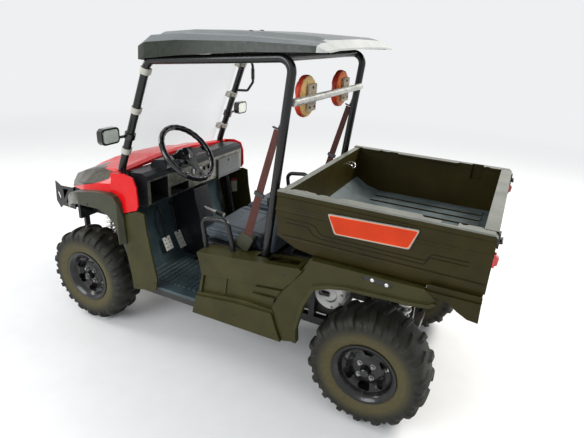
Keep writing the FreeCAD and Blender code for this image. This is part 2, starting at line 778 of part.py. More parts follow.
def make_rack():
    """Steering rack housing on the frame, and the tie rods that slide with the rack."""
    y = d.front_axle_y + d.steer_arm_reach
    z = d.axle_z + 6
    housing = joined("rack_housing_parts", [
        rod("rack_tube", (-150, y, z), "X", 300, 24),
        block("rack_mount_left", (100, y - 20, d.rail_z + 30), (d.rail_x - 22.3, y + 20, z)),
        block("rack_mount_right", (-(d.rail_x - 22.3), y - 20, d.rail_z + 30), (-100, y + 20, z)),
    ])
    bore = rod("rack_bore", (-200, y, z), "X", 400, 12.3)
    node("rack_housing", less("rack_housing", housing, bore))
    end_x = d.kingpin_x - 10
    rods = [rod("tie_bar", (-end_x, y, z), "X", end_x * 2, 8), rod("rack_bar", (-200, y, z), "X", 400, 12)]
    for side in (-1, 1):
        rods.append(rod(f"rod_end_{side}", (end_x * side, y, z - 8.5), "Z", 17, 13))
    node("tie_rods", joined("tie_rods", rods))


def make_bumper():
    """Front guard: two pierced side plates with a brace, tied by a cross plate at the grille."""
    front = d.bumper_front_y
    corners = [(front + 12, 792), (front + 62, 764), (front + 190, 770), (front + 190, 606),
               (front + 60, 612), (front + 36, 588), (front, 640)]
    hole = [(front + 26, 720), (front + 36, 712), (front + 50, 676), (front + 46, 660),
            (front + 36, 664), (front + 22, 702)]
    window_high = [(front + 84, 744), (front + 138, 748), (front + 84, 668)]
    window_low = [(front + 100, 640), (front + 158, 640), (front + 158, 732)]
    plate = panel("bumper_plate", "YZ", corners, d.bumper_x, d.plate_wall,
                  [hole, window_high, window_low])
    low = d.frame_front_y - 20.3
    across = block("bumper_cross", (-(d.bumper_x + 2), low, 610), (d.bumper_x + 2, low + d.plate_wall, 766))
    foot = block("bumper_foot", (d.rail_x - 20, low, d.rail_z + 4), (d.rail_x + 20, low + 20, 640))
    node("bumper", joined("bumper", [plate, mirrored(plate), across, foot, mirrored(foot)]))


# Front body

HOOD_SECTIONS = (
    # along, half width, edge height, shoulder half width, shoulder height, crown height
    (-1236, 330, 806, 296, 852, 872),
    (-1150, 398, 838, 352, 918, 944),
    (-1010, 476, 868, 408, 976, 1010),
    (-860, 556, 902, 442, 1022, 1056),
    (-700, 574, 938, 458, 1050, 1084),
    (-594, 576, 948, 470, 1072, 1100),
)


def hood_ring(along, half, edge, shoulder, high, crown, inset):
    """One closed half section of the hood shell; the crown has a raised middle."""
    hump = 150
    outer = [(half, edge), (half - 8, edge + (high - edge) * 0.42), (shoulder, high),
             (hump + 60, high + (crown - high) * 0.35), (hump, crown), (0, crown + 6)]
    inner = [(0, crown + 6 - inset), (hump - 4, crown - inset),
             (hump + 56, high + (crown - high) * 0.35 - inset), (shoulder - 6, high - inset),
             (half - 8 - inset, edge + (high - edge) * 0.42 - 4), (half - inset, edge)]
    return polygon([Vector(x, along, z) for x, z in outer + inner])


def make_hood():
    """Hood shell lofted from six sections, with a side panel down to the leg panel."""
    wall = float(d.skin)
    rings = [hood_ring(*row, wall) for row in HOOD_SECTIONS]
    half_shell = Part.makeLoft(rings, True, True)
    half = float(d.body_half)
    side = [Vector(half + 2, y, z) for y, z in (
        (-620, 950), (-594, 1068), (-498, 1080), (-436, 1064), (-414, 1010), (-410, 900), (-424, 872),
        (-470, 856), (-522, 836), (-548, 900), (-590, 946))]
    side_panel = prism(side, Vector(-wall, 0, 0))
    cowl = prism([Vector(0, -606, 1090), Vector(470, -606, 1062), Vector(half, -606, 1040),
                  Vector(half, -606, 1068), Vector(466, -606, 1076), Vector(150, -606, 1104),
                  Vector(0, -606, 1106)], Vector(0, 40, -4))
    front = prism([Vector(0, -1240, 800), Vector(330, -1240, 806), Vector(296, -1240, 850),
                   Vector(0, -1240, 876)], Vector(0, 12, 0))
    pieces = [half_shell, side_panel, cowl, front]
    whole = fuse_all([*pieces, *(mirror_x(piece) for piece in pieces)])
    lens = lens_prism()
    left_lens = half_shell.common(lens)
    node("headlamps", solid("headlamps", both_sides(left_lens)))
    room = [grown_lens(), side_tube(d.cage_tube + 3)]
    node("hood", solid("hood", whole.cut(Part.makeCompound(room + [mirror_x(one) for one in room]))))


LENS_CORNERS = ((-1244, 866), (-1200, 900), (-1080, 960), (-950, 1010), (-800, 1034), (-680, 1040),
                (-668, 1010), (-760, 972), (-900, 930), (-1020, 884), (-1160, 838), (-1244, 826))


def lens_prism():
    """Side outline of a headlamp lens, swept across the hood's shoulder."""
    return prism([Vector(250, y, z) for y, z in LENS_CORNERS], Vector(400, 0, 0))


def grown_lens():
    """The lens opening in the hood, a running gap larger all round."""
    gap = 1.5
    centre_y = sum(y for y, _ in LENS_CORNERS) / len(LENS_CORNERS)
    centre_z = sum(z for _, z in LENS_CORNERS) / len(LENS_CORNERS)
    corners = []
    for y, z in LENS_CORNERS:
        away = Vector(0, y - centre_y, z - centre_z).normalize() * gap
        corners.append(Vector(249, y + away.y, z + away.z))
    return prism(corners, Vector(402, 0, 0))


def make_front_panel():
    """Black front face under the hood: a slatted grille between two cheeks."""
    y = -1232
    slats = [block(f"slat_{i}", (-180, y - 2, 640 + 26 * i), (180, y + 22, 652 + 26 * i)) for i in range(6)]
    frame = [
        block("cheek_left", (178, y, 560), (322, y + 24, 800)),
        block("cheek_right", (-322, y, 560), (-178, y + 24, 800)),
        block("grille_sill", (-320, y, 560), (320, y + 24, 642)),
        block("grille_brow", (-320, y, 778), (320, y + 24, 800)),
        block("grille_stay_left", (190, y + 20, 580), (216, d.front_axle_y - 108.3, 612)),
        block("grille_stay_right", (-216, y + 20, 580), (-190, d.front_axle_y - 108.3, 612)),
    ]
    node("front_panel", joined("front_panel", [*frame, *slats]))


def make_flares():
    """Front wheel arch flares: an arched band cut to the body's plan, with a turned lip."""
    top = ((-1150, 716), (-1110, 800), (-1040, 846), (-950, 884), (-860, 912), (-740, 938),
           (-620, 949), (-560, 938), (-534, 900), (-520, 800), (-516, 640))
    under = ((-544, 640), (-552, 720), (-580, 780), (-630, 820), (-700, 838), (-860, 834),
             (-960, 806), (-1050, 764), (-1104, 716))
    band = prism([Vector(300, y, z) for y, z in top + under], Vector(float(d.flare_half) - 300, 0, 0))
    plan = prism([point(x, y, 600) for x, y in (
        (560, -500), (616, -540), (616, -850), (590, -930), (520, -1050), (452, -1160), (400, -1160),
        (440, -1060), (520, -940), (552, -850), (552, -640), (556, -560))], Vector(0, 0, 400))
    shell = band.common(plan)
    inner_band = prism([Vector(300, y, z - 9) for y, z in top[:-2]] + [
        Vector(300, -534, 500), Vector(300, -1150, 500)], Vector(float(d.flare_half) - 300, 0, 0))
    hollow = inner_band.common(plan.translated(Vector(-14, 6, 0)))
    doc.recompute()
    flare = shell.cut(hollow).cut(NODES["hood"].Shape).cut(NODES["leg_panels"].Shape)
    node("front_flares", solid("front_flares", both_sides(flare)))


def make_leg_panels():
    """Black panels between the front arch and the door opening, with a return to the toe board."""
    corners = [(-574, 788), (-530, 806), (-512, 832), (-466, 850), (-418, 866), (-372, 858),
               (-360, 740), (-334, 600), (-304, 453), (-318, 372), (-350, 352), (-420, 348),
               (-498, 330), (-506, 420), (-530, 560), (-560, 700)]
    skin = panel("leg_skin", "YZ", corners, d.body_half - d.skin, d.skin)
    returns = [(-572, 780), (-558, 690), (-528, 556), (-509, 445), (-499, 445), (-518, 556),
               (-548, 690), (-560, 780)]
    inner = panel("leg_return", "YZ", returns, d.body_half - 96, 90)
    node("leg_panels", pair("leg_panels", joined("leg_left", [skin, inner])))


def make_floor():
    """Cab floor with a sloping toe board, a firewall and cross ribs for the feet."""
    low = d.floor_z
    high = d.floor_z + d.floor_wall
    corners = [(d.floor_rear_y, low), (d.toe_y, low), (d.firewall_y, 640), (d.firewall_y - 6, 862),
               (d.firewall_y + 10, 862), (d.firewall_y + 18, 642), (d.toe_y + 12, high),
               (d.floor_rear_y, high)]
    body = doc.addObject("PartDesign::Body", "floor_pan")
    half = d.floor_half - d.skin - 6
    pad(body, outline_sketch(body, "YZ", -half, [corners]), half * 2)
    ribs = []
    for side in (1, -1):
        for index in range(11):
            y = -452 + 37 * index
            x0 = 128 if side > 0 else -474
            ribs.append([(x0, y), (x0 + 346, y), (x0 + 346, y + 16), (x0, y + 16)])
    pad(body, outline_sketch(body, "XY", high - 1, ribs), 6)
    node("floor_pan", body)


def make_tunnel():
    """Centre stack under the dash and the low tunnel behind it."""
    top = d.floor_z + d.floor_wall + 0.3
    corners = [(-486, top), (-330, top), (-338, 546), (-350, 680), (-384, 806), (-392, d.dash_low_z - 0.4),
               (-570, d.dash_low_z - 0.4), (-580, 646)]
    stack = panel("stack", "YZ", corners, -78, 156)
    low = panel("tunnel_low", "YZ", [(-340, top), (d.floor_rear_y - 2, top), (d.floor_rear_y - 2, 452),
                                      (-200, 470), (-338, 500)], -74, 148)
    node("tunnel", joined("tunnel", [stack, low]))


def make_dash():
    """Dash with an open cubby before the driver and a glovebox recess before the passenger."""
    rear = d.dash_rear_y
    top = d.dash_top_z
    low = d.dash_low_z
    corners = [(d.firewall_y + 38, top - 6), (rear - 40, top + 6), (rear - 8, top - 8), (rear, top - 34),
               (rear, low + 22), (rear - 30, low), (d.firewall_y + 14, low),
               (d.firewall_y + 14, top - 42), (d.firewall_y + 38, top - 36)]
    shell = panel("dash_shell", "YZ", corners, -d.dash_half, d.dash_half * 2)
    recess = block("cubby_recess", (d.column_x + 70, rear - 150, low + 26),
                   (d.dash_half - 24, rear + 20, top - 44))
    shelf = block("shelf_recess", (d.column_x - 130, rear - 110, low + 26),
                  (d.column_x + 46, rear + 20, low + 82))
    box_low = low + 22
    glove = block("glove_recess", (-(d.dash_half - 60), rear - 170, box_low + 8),
                  (-(d.dash_half - 60) + d.glovebox_width - 16, rear + 20, box_low + d.glovebox_height - 8))
    pod = panel("pod", "YZ", [(-500, top - 4), (-392, top - 4), (-378, top + 34), (-400, top + 58),
                              (-470, top + 48), (-500, top + 20)], d.column_x - 92, 184)
    face = block("pod_face", (d.column_x - 78, rear + 2, top + 2), (d.column_x + 78, rear + 30, top + 46))
    notch = block("pillar_notch", (d.pillar_x - 25, d.firewall_y - 20, low - 8),
                  (d.dash_half + 20, rear - 122, top + 18))
    tools = joined("dash_recesses", [recess, shelf, glove, notch, mirrored(notch)])
    hollow = less("dash_hollow", shell, tools)
    start, length, y, z = lid_hinge()
    lugs = [block(f"lid_lug_{i}", (x, rear - 1, z - 7), (x + 8, y + 7, z + 7))
            for i, x in enumerate((start - 9, start + length + 1))]
    pin = rod("lid_pin", (start - 5, y, z), "X", length + 10, d.lid_pin)
    node("dash", less("dash", joined("dash_solid", [hollow, pod, pin, *lugs]), face))


def lid_hinge():
    """Start and length of the glovebox hinge across the dash, and its place along and up."""
    return (-(d.dash_half - 52), d.glovebox_width, d.dash_rear_y + 0.3 + d.lid_wall, d.dash_low_z + 22)


def make_glovebox():
    """Glovebox lid, hinged along its lower edge."""
    low = d.dash_low_z + 22
    x0 = -(d.dash_half - 60) - 8
    lid = block("lid_plate", (x0, d.dash_rear_y + 0.3, low),
                (x0 + d.glovebox_width, d.dash_rear_y + 0.3 + d.lid_wall, low + d.glovebox_height))
    lid_round = doc.addObject("Part::Fillet", "lid_round")
    lid_round.Base = lid
    doc.recompute()
    front = float(d.dash_rear_y) + 0.3 + float(d.lid_wall)
    picks = [index for index, edge in enumerate(lid.Shape.Edges, start=1)
             if all(abs(v.Point.y - front) < 0.01 for v in edge.Vertexes)]
    lid_round.Edges = [(index, 5.0, 5.0) for index in picks]
    lock_z = low + d.glovebox_height - 26
    latch = rod("lid_lock", (x0 + d.glovebox_width / 2, front - 6, lock_z), "Y", 12, 9)
    start, length, y, z = lid_hinge()
    barrel = rod("lid_barrel", (start, y, z), "X", length, d.lid_pin + 3.5)
    bore = rod("lid_bore", (start - 5, y, z), "X", length + 10, d.lid_pin + d.running_gap)
    node("glovebox_lid", less("glovebox_lid", joined("lid_solid", [lid_round, latch, barrel]), bore))


# Steering and controls

def column_axis():
    """Direction of the steering column, up and back towards the driver."""
    tilt = math.radians(float(d.wheel_tilt))
    return Vector(0, math.cos(tilt), math.sin(tilt))


def make_steering():
    """Steering wheel with three spokes on a boss, and the column that carries it."""
    axis = column_axis()
    centre = point(d.column_x, d.wheel_y, d.wheel_z)
    grip = Part.makeTorus(float(d.wheel_radius), float(d.grip_radius), centre, axis)
    boss = Part.makeCone(54, 40, 34, centre - axis * 46, axis)
    spokes = []
    down = axis.cross(Vector(1, 0, 0))
    for angle in (0, 180, 90):
        turn = math.radians(angle)
        out = Vector(1, 0, 0) * math.cos(turn) + down * math.sin(turn)
        start = centre - axis * 34 + out * 30
        end = centre + out * (float(d.wheel_radius) - 6)
        side = out.cross(axis).normalize() * 17
        lift = axis * 8
        corners = [start - side, start + side, end + side * 0.8, end - side * 0.8]
        spokes.append(Part.Face(polygon(corners)).extrude(lift))
    wheel = fuse_all([grip, boss, *spokes])
    node("steering_wheel", solid("steering_wheel", wheel))
    start = centre - axis * (46 + float(d.running_gap))
    column = Part.makeCylinder(19, 150, start, axis * -1)
    shroud = Part.makeCone(30, 40, 90, start - axis * 26, axis * -1)
    doc.recompute()
    left_over = fuse_all([column, shroud]).cut(NODES["dash"].Shape)
    node("steering_column", solid("steering_column", left_over))


def make_controls():
    """Two pierced pedals on their arms, and the parking brake lever on the centre stack."""
    rows = (
        # across, pad half width, pad foot, pad head
        (232, 34, (-486, 466), (-520, 552)),
        (112, 28, (-468, 442), (-522, 552)),
    )
    shapes = []
    for x, half, foot, head in rows:
        low = Vector(x - half, foot[0], foot[1])
        along = Vector(0, head[0] - foot[0], head[1] - foot[1])
        outline = [low, low + Vector(2 * half, 0, 0), low + Vector(2 * half, 0, 0) + along, low + along]
        pad_plate = Part.Face(polygon(outline)).extrude(Vector(0, -6, -3))
        holes = []
        unit = Vector(0, -6, -3).normalize()
        for column in (-0.4, 0.4):
            for row in (0.22, 0.5, 0.78):
                centre = low + Vector(half + column * half * 1.1, 0, 0) + along * row
                holes.append(Part.makeCylinder(6, 40, centre - unit * 20, unit))
        pad_plate = pad_plate.cut(Part.makeCompound(holes))
        arm_start = low + Vector(half, -4, 0) + along * 0.9
        arm = bent_tube([arm_start, Vector(x, -552, 720), Vector(x, -586, 756)], 7, 20)
        shapes.append(fuse_all([pad_plate, arm]))
    doc.recompute()
    clear = [shape.cut(NODES["floor_pan"].Shape) for shape in shapes]
    node("pedals", solid("pedals", Part.makeCompound(clear)))
    lever_foot = Vector(0, -366, 726)
    lever_end = Vector(0, -206, 700)
    lever = fuse_all([straight_tube(lever_foot, lever_end, 8),
                      straight_tube(lever_foot + (lever_end - lever_foot) * 0.55, lever_end, 13)])
    doc.recompute()
    node("brake_lever", solid("brake_lever", lever.cut(NODES["tunnel"].Shape)))


# Seats

def make_seat_base():
    """Box under the seats with a deck, open underneath over the frame."""
    outer = d.cushion_outer_x + 20
    wall = d.seat_deck_wall
    deck = d.seat_deck_z
    low = d.floor_z
    rear = d.rear_foot_y - 6
    box = block("seat_box", (-outer, d.floor_rear_y + 0.3, low), (outer, rear, deck))
    shelf = block("seat_shelf", (-outer, rear - wall, deck - wall), (outer, d.back_y + 72, deck))
    shell = joined("seat_shell", [box, shelf])
    hollow = block("seat_box_hollow", (-(outer - wall), d.floor_rear_y + wall, low - 20),
                   (outer - wall, rear - wall, deck - wall))
    node("seat_base", less("seat_base", shell, hollow))


def cushion_body(name, side):
    """Plain solid of one seat cushion."""
    near = d.cushion_inner_x if side > 0 else -d.cushion_outer_x
    width = d.cushion_outer_x - d.cushion_inner_x
    low = d.seat_deck_z + 0.4
    front = d.seat_front_y
    corners = [(front + 46, low), (front, low + 30), (front + 6, low + d.cushion_depth - 14),
               (front + 40, low + d.cushion_depth), (d.back_y - 50, low + d.cushion_depth - 10),
               (d.back_y - 16, low + d.cushion_depth - 34), (d.back_y - 6, low)]
    return panel(name, "YZ", corners, near, width)


def back_body(name, side):
    """Plain solid of one seat back, leaning to the rear hoop."""
    near = d.cushion_inner_x if side > 0 else -d.cushion_outer_x
    width = d.cushion_outer_x - d.cushion_inner_x
    low = d.seat_deck_z
    face = d.back_y
    corners = [(face + 6, low + 0.4), (face - 4, low + 110), (face + 20, d.back_top_z - 40),
               (face + 42, d.back_top_z), (face + 84, d.back_top_z), (face + 102, d.back_top_z - 40),
               (face + 72, low + 60), (face + 66, low + 0.4)]
    return panel(name, "YZ", corners, near, width)


def make_seats():
    """Two cushions and two backs, each a sub-part of its own."""
    for side, word in ((1, "left"), (-1, "right")):
        node("cushion_" + word, cushion_body("cushion_" + word, side))
        node("backrest_" + word, back_body("backrest_" + word, side))


def make_hip_hoops():
    """Bent tube at the outer side of each seat, standing on the rocker's top."""
    radius = float(d.hoop_tube)
    x = 522
    hoop = bent_tube([Vector(x, 30, 722), Vector(x, 0, 905), Vector(x, 165, 925), Vector(x, 208, 741)],
                     radius, 42)
    node("hip_hoops", solid("hip_hoops", both_sides(above_tray(hoop))))


def make_belts():
    """Tilted retractor housing beside each seat, and its strap up to the rear hoop."""
    case = prism([Vector(450, y, z) for y, z in (
        (196, 802), (204, 790), (270, 764), (286, 770), (318, 836), (312, 848), (254, 869), (240, 863))],
        Vector(55, 0, 0))
    foot = above_tray(Part.makeBox(34, 42, 34, Vector(462, 240, 750)))
    node("belt_reels", solid("belt_reels", both_sides(fuse_all([case, foot]))))
    strap = prism([Vector(497, 258, 868), Vector(497, 304, 851.2), Vector(497, 445, 1440),
                   Vector(497, 424, 1440)], Vector(3, 0, 0))
    node("belt_straps", solid("belt_straps", both_sides(strap)))


# Cage, roof and glass

def side_tube(radius):
    """Left side of the cage at a radius: floor, front pillar, roof rail and rear hoop in one bend."""
    foot_z = float(d.floor_z)
    return bent_tube([
        point(d.pillar_x + 4, -452, foot_z + float(d.floor_wall) + 4.2), point(d.pillar_x + 4, -505, 700),
        point(d.pillar_x, d.pillar_y + 8, d.pillar_z), point(d.header_x, d.header_y, d.header_z),
        point(d.header_x + 12, d.rear_top_y - 8, d.rear_top_z), point(d.pillar_x - 2, d.rear_mid_y, 1180),
        point(d.pillar_x + 4, d.rear_foot_y, foot_z + 2.7)], radius, 60)


def make_cage():
    """Two side tubes tied by bars at the header and over the rear hoop."""
    radius = float(d.cage_tube)
    side = side_tube(radius)
    half = float(d.header_x)
    rows = ((d.header_y + 18, d.header_z - 2), (d.rear_top_y - 62, d.rear_top_z - 4))
    bars = [Part.makeCylinder(radius * 0.85, 2 * half, point(-half, y, z), Vector(1, 0, 0))
            for y, z in rows]
    node("cage", solid("cage", fuse_all([side, mirror_x(side), *bars])))


def make_cross_bar():
    """Bright bar across the rear hoop with two head pads on plates."""
    half = d.pillar_x - d.cage_tube + 3
    bar = rod("bar", (-half, d.bar_y, d.bar_z), "X", half * 2, d.bar_radius)
    plates = []
    for side in (-1, 1):
        x = d.headrest_x * side
        plates.append(block(f"pad_plate_{side}", (x - 46, d.bar_y - d.bar_radius - 6, d.bar_z - 66),
                            (x + 46, d.bar_y - 8, d.bar_z + 66)))
    room = solid("cross_bar_room", both_sides(side_tube(d.cage_tube + d.running_gap)))
    node("cross_bar", less("cross_bar", joined("cross_bar_solid", [bar, *plates]), room))


def make_headrests():
    """Plain oval solids for the two head pads."""
    for side, word in ((1, "left"), (-1, "right")):
        front = d.bar_y - d.bar_radius - 6.4 - d.headrest_depth
        cyl = rod("headrest_trim_" + word, (d.headrest_x * side, front, d.bar_z + 3), "Y", d.headrest_depth,
                  d.headrest_height / 2 - 6)
        x = d.headrest_x * side
        low = d.bar_z + 3 - d.headrest_height / 2
        narrow = block("headrest_width_" + word, (x - d.headrest_width / 2, front, low),
                       (x + d.headrest_width / 2, front + d.headrest_depth, low + d.headrest_height))
        node("headrest_" + word, meet("headrest_" + word, cyl, narrow))


ROOF_SECTIONS = (
    # along, skirt half width, skirt foot height, shoulder half width, shoulder height, crown height
    (-392, 512, 1706, 452, 1800, 1826),
    (-330, 530, 1716, 474, 1828, 1852),
    (-120, 545, 1744, 492, 1846, 1872),
    (300, 548, 1786, 500, 1852, 1880),
    (560, 545, 1801, 496, 1845, 1873),
    (625, 540, 1804, 492, 1841, 1860),
    (668, 530, 1806, 482, 1814, 1824),
)


def roof_ring(along, skirt, foot, shoulder, high, crown, wall):
    """One closed half section of the roof moulding."""
    rise = crown - high
    outer = [(skirt, foot), (skirt - 6, foot + (high - foot) * 0.7), (shoulder, high),
             (shoulder - 70, high + min(4, rise * 0.4)), (shoulder - 110, crown - min(6, rise * 0.3)),
             (0, crown)]
    inner = [(0, crown - wall), (shoulder - 114, outer[4][1] - wall), (shoulder - 74, outer[3][1] - wall),
             (shoulder - 6, high - wall), (skirt - 6 - wall, foot + (high - foot) * 0.7 - 4),
             (skirt - wall, foot)]
    return polygon([Vector(x, along, z) for x, z in outer + inner])


def make_roof():
    """Moulded roof: lofted shell with deep skirts and a front lip turned down."""
    wall = float(d.roof_wall)
    rings = [roof_ring(*row, wall) for row in ROOF_SECTIONS]
    half = Part.makeLoft(rings, True, True)
    front = float(d.roof_front_y)
    lip = prism([Vector(0, front + 16, 1826), Vector(452, front + 16, 1800), Vector(508, front + 16, 1746),
                 Vector(512, front + 16, 1706), Vector(480, front + 16, 1702), Vector(0, front + 16, 1730)],
                Vector(0, wall, 0))
    pieces = [half, lip, *(roof_saddle(y, high) for y, high in ((-210, 1834), (80, 1840), (370, 1838)))]
    node("roof", solid("roof", fuse_all(pieces + [mirror_x(piece) for piece in pieces])))


def roof_saddle(along, high):
    """Block under the roof that sits on the side tube of the cage."""
    head = point(d.header_x, d.header_y, d.header_z)
    tail = point(d.header_x + 12, d.rear_top_y - 8, d.rear_top_z)
    middle = head + (tail - head) * ((along - head.y) / (tail.y - head.y))
    pad_block = Part.makeBox(26, 60, high - middle.z, Vector(middle.x - 28, along - 30, middle.z))
    return pad_block.cut(straight_tube(head, tail, d.cage_tube + 0.3))


def screen_frame():
    """Foot, head and outward normal of the windscreen's middle line."""
    foot = point(0, d.pillar_y - 18, d.pillar_z + 22)
    head = point(0, d.header_y - 30, d.header_z - 6)
    run = head - foot
    normal = Vector(1, 0, 0).cross(run).normalize()
    return foot, run, normal


SCREEN_EDGE = (
    # across, height of the lower edge, from the middle outwards
    (150, 1112), (216, 1103), (468, 1082),
)


def make_windscreen():
    """Clear sheet in front of the pillars, cut to the cowl below, with clips that grip it to them."""
    foot, run, normal = screen_frame()
    lower = [foot + run * ((z - foot.z) / run.z) + Vector(x, 0, 0) for x, z in SCREEN_EDGE]
    corners = lower + [foot + run + Vector(452, 0, 0)]
    corners += [Vector(-p.x, p.y, p.z) for p in reversed(corners)]
    sheet = Part.Face(polygon(corners)).extrude(normal * -float(d.glass_wall))
    node("windscreen", solid("windscreen", sheet))
    room = Part.Face(polygon(corners)).extrude(normal * -(float(d.glass_wall) + 0.6))
    room.translate(normal * 0.3)
    tube = straight_tube(pillar_point(1000), pillar_point(1720), d.cage_tube + 0.3)
    up = Vector(run).normalize()
    across = Vector(1, 0, 0)
    clips = []
    for share in (0.16, 0.56, 0.92):
        height = foot.z + run.z * share
        centre = pillar_point(height)
        ring = Part.makeCylinder(float(d.cage_tube) + 6, 34, centre - up * 17, up)
        edge = foot + run * share + across * (centre.x - 52)
        corner = edge - up * 17 + normal * 7
        outline = [corner, corner + across * 52, corner + across * 52 + up * 34, corner + up * 34]
        tab = Part.Face(polygon(outline)).extrude(normal * -34)
        clips.append(fuse_all([ring, tab]).cut(tube).cut(room))
    node("screen_clips", solid("screen_clips", both_sides(Part.makeCompound(clips))))


def make_mirrors():
    """Rounded mirror shell on a stalk from a clamp round the front pillar."""
    x = float(d.mirror_x)
    y = float(d.mirror_y)
    z = float(d.mirror_z)
    head = Part.makeBox(124, 42, 88, Vector(x - 62, y - 30, z - 44))
    edges = [edge for edge in head.Edges
             if edge.Vertexes[0].Point.y != edge.Vertexes[1].Point.y]
    head = head.makeFillet(24, edges)
    front = [edge for edge in head.Edges if all(abs(v.Point.y - (y - 30)) < 0.1 for v in edge.Vertexes)]
    head = head.makeFillet(10, front)
    pillar = pillar_point(z - 26)
    stalk_end = Vector(x - 30, y - 10, z)
    stalk = bent_tube([pillar + Vector(18, -6, 0), stalk_end - Vector(10, 0, 20), stalk_end], 8, 10)
    up = (pillar_point(z) - pillar_point(z - 60)).normalize()
    clamp = Part.makeCylinder(float(d.cage_tube) + 9, 34, pillar - up * 17, up)
    clamp = clamp.cut(Part.makeCylinder(float(d.cage_tube) + 0.3, 60, pillar - up * 30, up))
    left = fuse_all([head, stalk, clamp]).cut(side_tube(d.cage_tube + 0.3))
    node("mirrors", solid("mirrors", both_sides(left)))


def pillar_point(height):
    """Point on the middle line of the left front pillar at a height."""
    foot = point(d.pillar_x, d.pillar_y + 8, d.pillar_z)
    head = point(d.header_x, d.header_y, d.header_z)
    return foot + (head - foot) * ((height - foot.z) / (head.z - foot.z))


def make_grab_handles():
    """Bent grab handle from the passenger's front pillar to the roof rail behind it."""
    x = float(d.header_x)
    path = [pillar_point(1462), Vector(x, -330, 1470), Vector(x, -286, 1532), Vector(x, -290, 1640),
            Vector(x, -316, 1708)]
    handle = bent_tube(path, 9, 26).cut(side_tube(d.cage_tube + d.running_gap))
    node("grab_handle", solid("grab_handle", mirror_x(handle)))


# Sides, fenders and bed

ROCKER_FORMS = (
    # name, how far out from the body side, thickness, corners as along and up
    ("skin", 0, 12, ((-12, 345), (18, 480), (48, 600), (20, 735), (640, 800), (664, 795), (552, 650),
                     (494, 529), (530, 420), (560, 350), (398, 352), (207, 350), (-10, 342))),
    ("band", 10, 18, ((20, 732), (50, 604), (266, 632), (553, 664), (606, 720), (655, 794), (640, 797))),
    ("front_rib", 10, 16, ((-8, 352), (20, 470), (50, 612), (62, 612), (44, 500), (40, 474))),
    ("step", 10, 34, ((-12, 345), (18, 466), (276, 498), (500, 506), (530, 420), (560, 350))),
    ("tread_low", 10, 22, ((18, 464), (26, 486), (210, 512), (330, 526), (500, 520), (510, 500))),
    ("bar_high", 10, 17, ((392, 630), (404, 604), (520, 610), (546, 648))),
    ("bar_low", 10, 17, ((372, 584), (384, 556), (500, 560), (510, 592))),
    ("frame_left", 10, 9, ((196, 628), (212, 628), (200, 520), (184, 512))),
)


TRAY_ENDS = (20, 640)


def tray_top(along):
    """Height of the sloped tray on the rocker's top."""
    return 735 + (along - TRAY_ENDS[0]) * 0.1097


def above_tray(shape):
    """The piece with its foot cut to stand on the tray, a seat's width above it."""
    low, high = -60, 700
    lift = 0.3
    under = prism([Vector(440, low, 600), Vector(440, high, 600), Vector(440, high, tray_top(high) + lift),
                   Vector(440, low, tray_top(low) + lift)], Vector(160, 0, 0))
    return shape.cut(under)


def make_rockers(fender):
    """Side panels under the seats: a sunk field under a proud band, a step, bars and a top tray."""
    half = d.body_half
    forms = [panel("rocker_" + name, "YZ", corners, half + out, wall)
             for name, out, wall, corners in ROCKER_FORMS]
    start, end = TRAY_ENDS
    corners = [(start, tray_top(start) - 19), (start, tray_top(start)), (end, tray_top(end)),
               (end, tray_top(end) - 19)]
    tray = panel("rocker_tray", "YZ", corners, 476, half - 476 + d.rocker_relief)
    solid_side = joined("rocker_solid", [*forms, tray])
    slot = block("rocker_slot", (d.pillar_x - 26, 360, 690), (d.pillar_x + 34, 428, 830))
    grip = block("rocker_grip", (518, 452, 700), (566, 612, 830))
    cut = less("rocker_left", solid_side, joined("rocker_recesses", [slot, grip, fender]))
    node("rockers", pair("rockers", cut))


def from_rear_axle(corners):
    """Corners given along from the rear axle, and up."""
    return [(rear_axle_y + along, up) for along, up in corners]


def make_rear_fenders():
    """Rear arches: blade before the wheel, arched flange, top liner and tail skirt."""
    half = d.flare_half
    arch = [(-373, 372), (-379, 454), (-343, 610), (-295, 715), (-220, 746), (-139, 763), (86, 776),
            (177, 780), (248, 790), (282, 820)]
    outer = [(217, 872), (-323, 866), (-359, 795), (-471, 650), (-529, 529), (-493, 420), (-457, 350)]
    edge = [(-395, 372), (-401, 454), (-363, 618), (-310, 733), (-226, 764), (-141, 781), (86, 794),
            (177, 798), (244, 808), (262, 822)]
    flare_left = panel("fender_flare", "YZ", from_rear_axle(arch + outer), half - 38, 24)
    lip = panel("fender_lip", "YZ", from_rear_axle(arch + edge[::-1]), half - 15, 15)
    slot_corners = from_rear_axle([(-67, 856), (-67, 846), (-52, 838), (58, 830), (73, 836), (73, 846),
                                   (58, 852), (-52, 862)])
    slot = panel("fender_slot", "YZ", slot_corners, half - 24, 30)
    skirt_corners = [(177, 868), (277, 866), (451, 868), (454, 776), (408, 780), (361, 805),
                     (317, 838), (277, 842), (209, 846)]
    skirt = panel("fender_skirt", "YZ", from_rear_axle(skirt_corners), d.bed_half + 6, 14)
    liner_corners = [(-337, 866), (217, 866), (217, 854), (-323, 854), (-355, 790), (-423, 690),
                     (-467, 640), (-471, 650), (-423, 706)]
    liner = panel("fender_liner", "YZ", from_rear_axle(liner_corners), 300, half - 300 - 30)
    left = less("fender_left", joined("fender_solid", [flare_left, lip, skirt, liner]), slot)
    node("rear_fenders", pair("rear_fenders", left))
    return left


